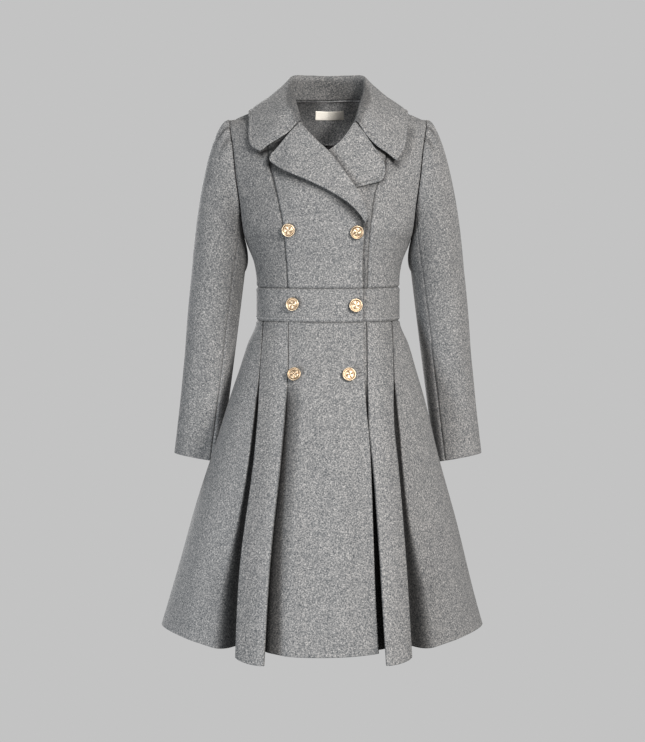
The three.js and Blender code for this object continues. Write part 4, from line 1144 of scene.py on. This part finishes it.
def add_collar():
    sections = collar_rows("right")[::-1] + collar_rows("left")[1:]
    curves = [catmull([s[k] for s in sections], 150) for k in range(4)]
    places = shares(150, 4.5)
    ends = np.abs(np.linspace(-1, 1, len(curves[0])))
    crowns = mix(2.4, -3.5, smooth((ends - 0.8) / 0.2))
    mid = np.array([smooth_line(collar_section(*section), places) for section in zip(*curves, crowns)])
    # Painted shade: the stand, inside the neck, is darker
    stand = 1 - 0.42 * smooth((0.31 - places) / 0.08)
    return Shell("collar_cloth", mid, "collar", {"top": "edge", "bottom": "edge", "end": "edge"},
                 materials=(wool, wool), thickness=DOUBLED, tone=stand)


def add_lapel(hand, front_lift):
    keys = np.array(LAPELS[hand], float)
    count = 60
    rolls, edges = catmull(keys[:, :2], count), catmull(keys[:, 2:4], count)
    lifts = np.interp(np.linspace(0, 1, count), np.linspace(0, 1, len(keys)), keys[:, 4])
    turn = np.clip(np.linspace(-0.12 * math.pi, 1.02 * math.pi, 12), 0, math.pi)
    past = LAPEL_TURN * np.sin(turn)
    rise = LAPEL_TURN * 1.02 * (1 - np.cos(turn))
    grid = []
    for roll, edge, edge_lift in zip(rolls, edges, lifts):
        way = edge - roll
        length = max(np.hypot(*way), 1e-3)
        flat = shares(max(length, 30), 4.0, start=False)[1:]
        flat = np.interp(np.linspace(0, 1, 30), np.linspace(0, 1, len(flat)), flat)
        share = np.concatenate([-past / length, flat])
        lift = np.concatenate([rise, mix(2.05 * LAPEL_TURN, edge_lift, flat ** 1.5)])
        x, z = roll[0] + way[0] * share, roll[1] + way[1] * share
        grid.append(lifted(angle_at(x, z, "front"), z, lift + front_lift(x, z), "front"))
    return Shell(f"lapel_{hand}_cloth", np.array(grid), f"lapel_{hand}", {"top": "edge", "end": "edge"},
                 materials=(wool, wool), thickness=DOUBLED, shades=LAPEL_SHADES if hand == "left" else ())


FACING_HALF, FACING_END, FACING_RISE, FACING_GAP = 66, -64, 6, 0.4
LABEL_MIDDLE, LABEL_HALF, LABEL_TOP, LABEL_HEIGHT = 3.3, 27.5, -3.2, 15.2


def add_back_facing():
    """The facing inside the back of the neck, with painted light: lighter low down and towards the wearer's
    left, darker near its top and towards the wearer's right.
    """
    x, down = np.linspace(-FACING_HALF, FACING_HALF, 40), np.linspace(0, 1, 30)[:, None]
    z = mix(back_neck_z(x) - 0.2, FACING_END + FACING_RISE * (x / FACING_HALF) ** 2, down)
    x = np.broadcast_to(x, z.shape)
    lift = -LAYER - FACING_GAP + 0 * z
    Shell("back_facing_cloth", lifted(angle_at(x, z, "back"), z, lift, "back"), "back_facing",
          {"bottom": "seam"}, materials=(facing_wool, facing_wool), thickness=FACING,
          tone=(0.8 + 2.2 * down ** 3) * np.clip(1.5 * np.exp(0.032 * x), 0.6, 3.0))


def add_label():
    x, z = np.meshgrid(np.linspace(LABEL_MIDDLE - LABEL_HALF, LABEL_MIDDLE + LABEL_HALF, 30),
                       np.linspace(LABEL_TOP, LABEL_TOP - LABEL_HEIGHT, 12))
    lift = -LAYER - FACING_GAP - FACING + 0 * z
    label = Shell("label_tape", lifted(angle_at(x, z, "back"), z, lift, "back"), "label", {},
                  materials=(tape, tape), thickness=TAPE)


# Sewing

STITCH_ENDS = [(-0.5, 0.35), (-0.3, 1.0), (0.3, 1.0), (0.5, 0.35)]


def add_stitches(name, runs, pitch=3.6, length=2.5, radius=0.33):
    """Short raised stitches along lines of points with normals, joined in one mesh."""
    sides = 6
    ring = [(math.cos(a), math.sin(a)) for a in np.linspace(0, 2 * math.pi, sides, endpoint=False)]
    last = sides * (len(STITCH_ENDS) - 1)
    points, faces = [], []
    for path, ups in runs:
        places = np.arange(pitch, path_length(path) - pitch / 2, pitch)
        centres = resample(path, path, places)
        normal = unit(resample(path, ups, places))
        along = unit(resample(path, path, places + 0.5) - centres + 1e-9)
        across = unit(np.cross(along, normal))
        for c, a, s, u in zip(centres, along, across, normal):
            base = len(points)
            for t, fat in STITCH_ENDS:
                for ca, sa in ring:
                    points.append(c + a * t * length + s * ca * radius * fat + u * (sa * radius * fat + 0.1))
            for k in range(0, last, sides):
                for m in range(sides):
                    p, q = base + k + m, base + k + (m + 1) % sides
                    faces.append((p, q, q + sides, p + sides))
            faces.append(tuple(base + m for m in range(sides - 1, -1, -1)))
            faces.append(tuple(base + last + m for m in range(sides)))
    piece = make_mesh(name, np.array(points) * MM, faces, [thread])
    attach(piece, "root")


# Buttons

# Radius and height of a button's outline, from the middle of its face round to its shank
BUTTON_OUTLINE = np.array([
    (0, 5.7), (2, 5.65), (4, 5.5), (5.5, 5.35), (7, 5.2), (8.2, 5.1), (9, 5.1), (9.6, 5.5), (10, 6.2),
    (10.5, 6.6), (11.1, 6.55), (11.7, 6.1), (12, 5.3), (11.9, 4.3), (11.4, 3.5), (10.6, 3.1),
    (6, 3), (3.4, 2.8), (3.3, 1.5), (3.3, 0)])
BUTTON_ROWS, BUTTON_SPOKES = 60, 96
FACE_PART, RIM_PART = 0.45, 0.62


def button_relief():
    """Radius, turn and height of a button's surface, and where its hollows are."""
    u = np.linspace(0, 1, BUTTON_ROWS)[1:]
    radius, height = (np.interp(u, np.linspace(0, 1, len(BUTTON_OUTLINE)), v) for v in BUTTON_OUTLINE.T)
    theta = np.linspace(0, 2 * math.pi, BUTTON_SPOKES, endpoint=False)
    rr, tt = np.meshgrid(radius, theta, indexing="ij")
    on_face = u[:, None] < FACE_PART
    petals = np.abs(np.cos(2 * tt + 0.12 * rr)) ** 0.6
    relief = (1.1 * petals * smooth((rr - 1.2) / 1.5) * smooth((8.0 - rr) / 1.6)
              + 0.9 * smooth((2.0 - rr) / 0.8) - 0.5)
    rope = (np.abs(rr - 10.6) < 1.3) & (u[:, None] < RIM_PART)
    hh = height[:, None] + smooth((8.6 - rr) / 1.2) * on_face * relief
    hh = hh + rope * 0.08 * np.cos(36 * tt + rr * 2.2)
    between_petals = (petals < 0.62) & (rr > 1.6) & (rr < 7.4)
    inside_rim = (rr > 8.0) & (rr < 9.3)
    return rr, tt, hh, (between_petals | inside_rim) & on_face


def button_seat(name):
    """Where a button of the part sits, and the way that it faces."""
    points = np.array([v.co for v in bpy.data.objects[name].data.vertices]) / MM
    centre = points.mean(axis=0)
    axis = np.linalg.svd(points - centre, full_matrices=False)[2][2]
    axis = axis if axis[1] < 0 else -axis
    return centre + axis * ((points - centre) @ axis).min(), axis


def add_button(name, degrees):
    """A pressed metal button: dished face, raised rim with a roped edge and a plain relief."""
    rr, tt, hh, hollow = button_relief()
    seat, axis = button_seat(name)
    side = unit(np.cross(axis, [0.0, 0.0, 1.0]))
    up = unit(np.cross(side, axis))
    turn = tt + math.radians(degrees)
    over, aside = (rr * np.sin(turn))[..., None], (rr * np.cos(turn))[..., None]
    grid = seat + (side * aside + up * over + axis * hh[..., None])
    index = np.arange(rr.size).reshape(rr.shape)
    a, b = index[:-1], index[1:]
    quads = np.stack([a, b, np.roll(b, -1, axis=1), np.roll(a, -1, axis=1)], axis=-1).reshape(-1, 4)
    faces = [*quads, index[0][::-1], index[-1]]
    skin = np.append(hollow[:-1].reshape(-1), [False, False]).astype(int)
    piece = make_mesh(f"{name}_metal", grid.reshape(-1, 3) * MM, faces, [gold, gold_dark], skin)
    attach(piece, "root")
    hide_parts(name)


add_bodice()
bands = add_waistband()
overlap_panel = add_skirt()
add_sleeves()
collar = add_collar()
lapels = [add_lapel("right", overlap_lift), add_lapel("left", no_lift)]
add_back_facing()
add_label()
for button, degrees in BUTTONS.items():
    add_button(button, degrees)

add_stitches("topstitching", [
    collar.line("start"), collar.line("top", last=0.45), collar.line("bottom", last=0.45),
    *(lapel.line(side, first=first) for lapel in lapels for side, first in (("end", 0.0), ("top", 0.45))),
    overlap_panel.line("end"), *(band.line("bottom") for band in bands),
])


# Floor, light and camera, in metres

def add_floor():
    rings, spokes = 24, 72
    radius = np.linspace(0.0, FLOOR_RADIUS, rings + 1)[1:]
    angle = np.linspace(0, 2 * math.pi, spokes, endpoint=False)
    rr, aa = np.meshgrid(radius, angle, indexing="ij")
    points = np.concatenate([[[0, 0, 0]], xyz(rr * np.cos(aa), rr * np.sin(aa), 0 * rr).reshape(-1, 3)])
    faces = [(0, 1 + k, 1 + (k + 1) % spokes) for k in range(spokes)]
    for i in range(rings - 1):
        for k in range(spokes):
            a, b = 1 + i * spokes + k, 1 + i * spokes + (k + 1) % spokes
            faces.append((a, a + spokes, b + spokes, b))
    floor = make_mesh("floor", points, faces, [make_floor()])
    floor.location = (0, 0, FLOOR_Z)


def add_light(name, place, target, size, power, colour):
    data = bpy.data.lights.new(name, "AREA")
    data.size = size
    data.energy = power
    data.color = colour
    light = bpy.data.objects.new(name, data)
    light.location = place
    light.rotation_euler = (Vector(target) - Vector(place)).to_track_quat("-Z", "Y").to_euler()
    bpy.context.collection.objects.link(light)


def add_camera():
    """A level camera before the middle of the coat, as far off as the photo's."""
    data = bpy.data.cameras.new("camera")
    data.sensor_width = 36
    data.lens = CAMERA_LENS
    data.clip_end = 50
    camera = bpy.data.objects.new("camera", data)
    camera.location = CAMERA_PLACE
    camera.rotation_euler = (math.pi / 2, 0, 0)
    bpy.context.collection.objects.link(camera)
    bpy.context.scene.camera = camera


BACKDROP = 0.546
CAMERA_PLACE, CAMERA_LENS = (-0.0099, -3.2, -0.48), 86.25
world = bpy.data.worlds.new("studio")
bpy.context.scene.world = world
world.use_nodes = True
world.node_tree.nodes["Background"].inputs["Color"].default_value = (BACKDROP, BACKDROP, BACKDROP, 1)
bpy.context.scene.view_settings.view_transform = "Standard"
add_floor()
add_light("key", (1.75, -2.8, 0.8), (0, 0, -0.5), 0.9, 265, (1.0, 0.972, 0.945))
add_light("fill", (-2.1, -2.3, -1.25), (-0.15, 0, -0.95), 0.8, 115, (0.91, 0.955, 1.0))
add_light("back", (-1.2, 3.0, 1.0), (0, 0, -0.5), 1.4, 250, (1.0, 0.99, 0.98))
add_camera()
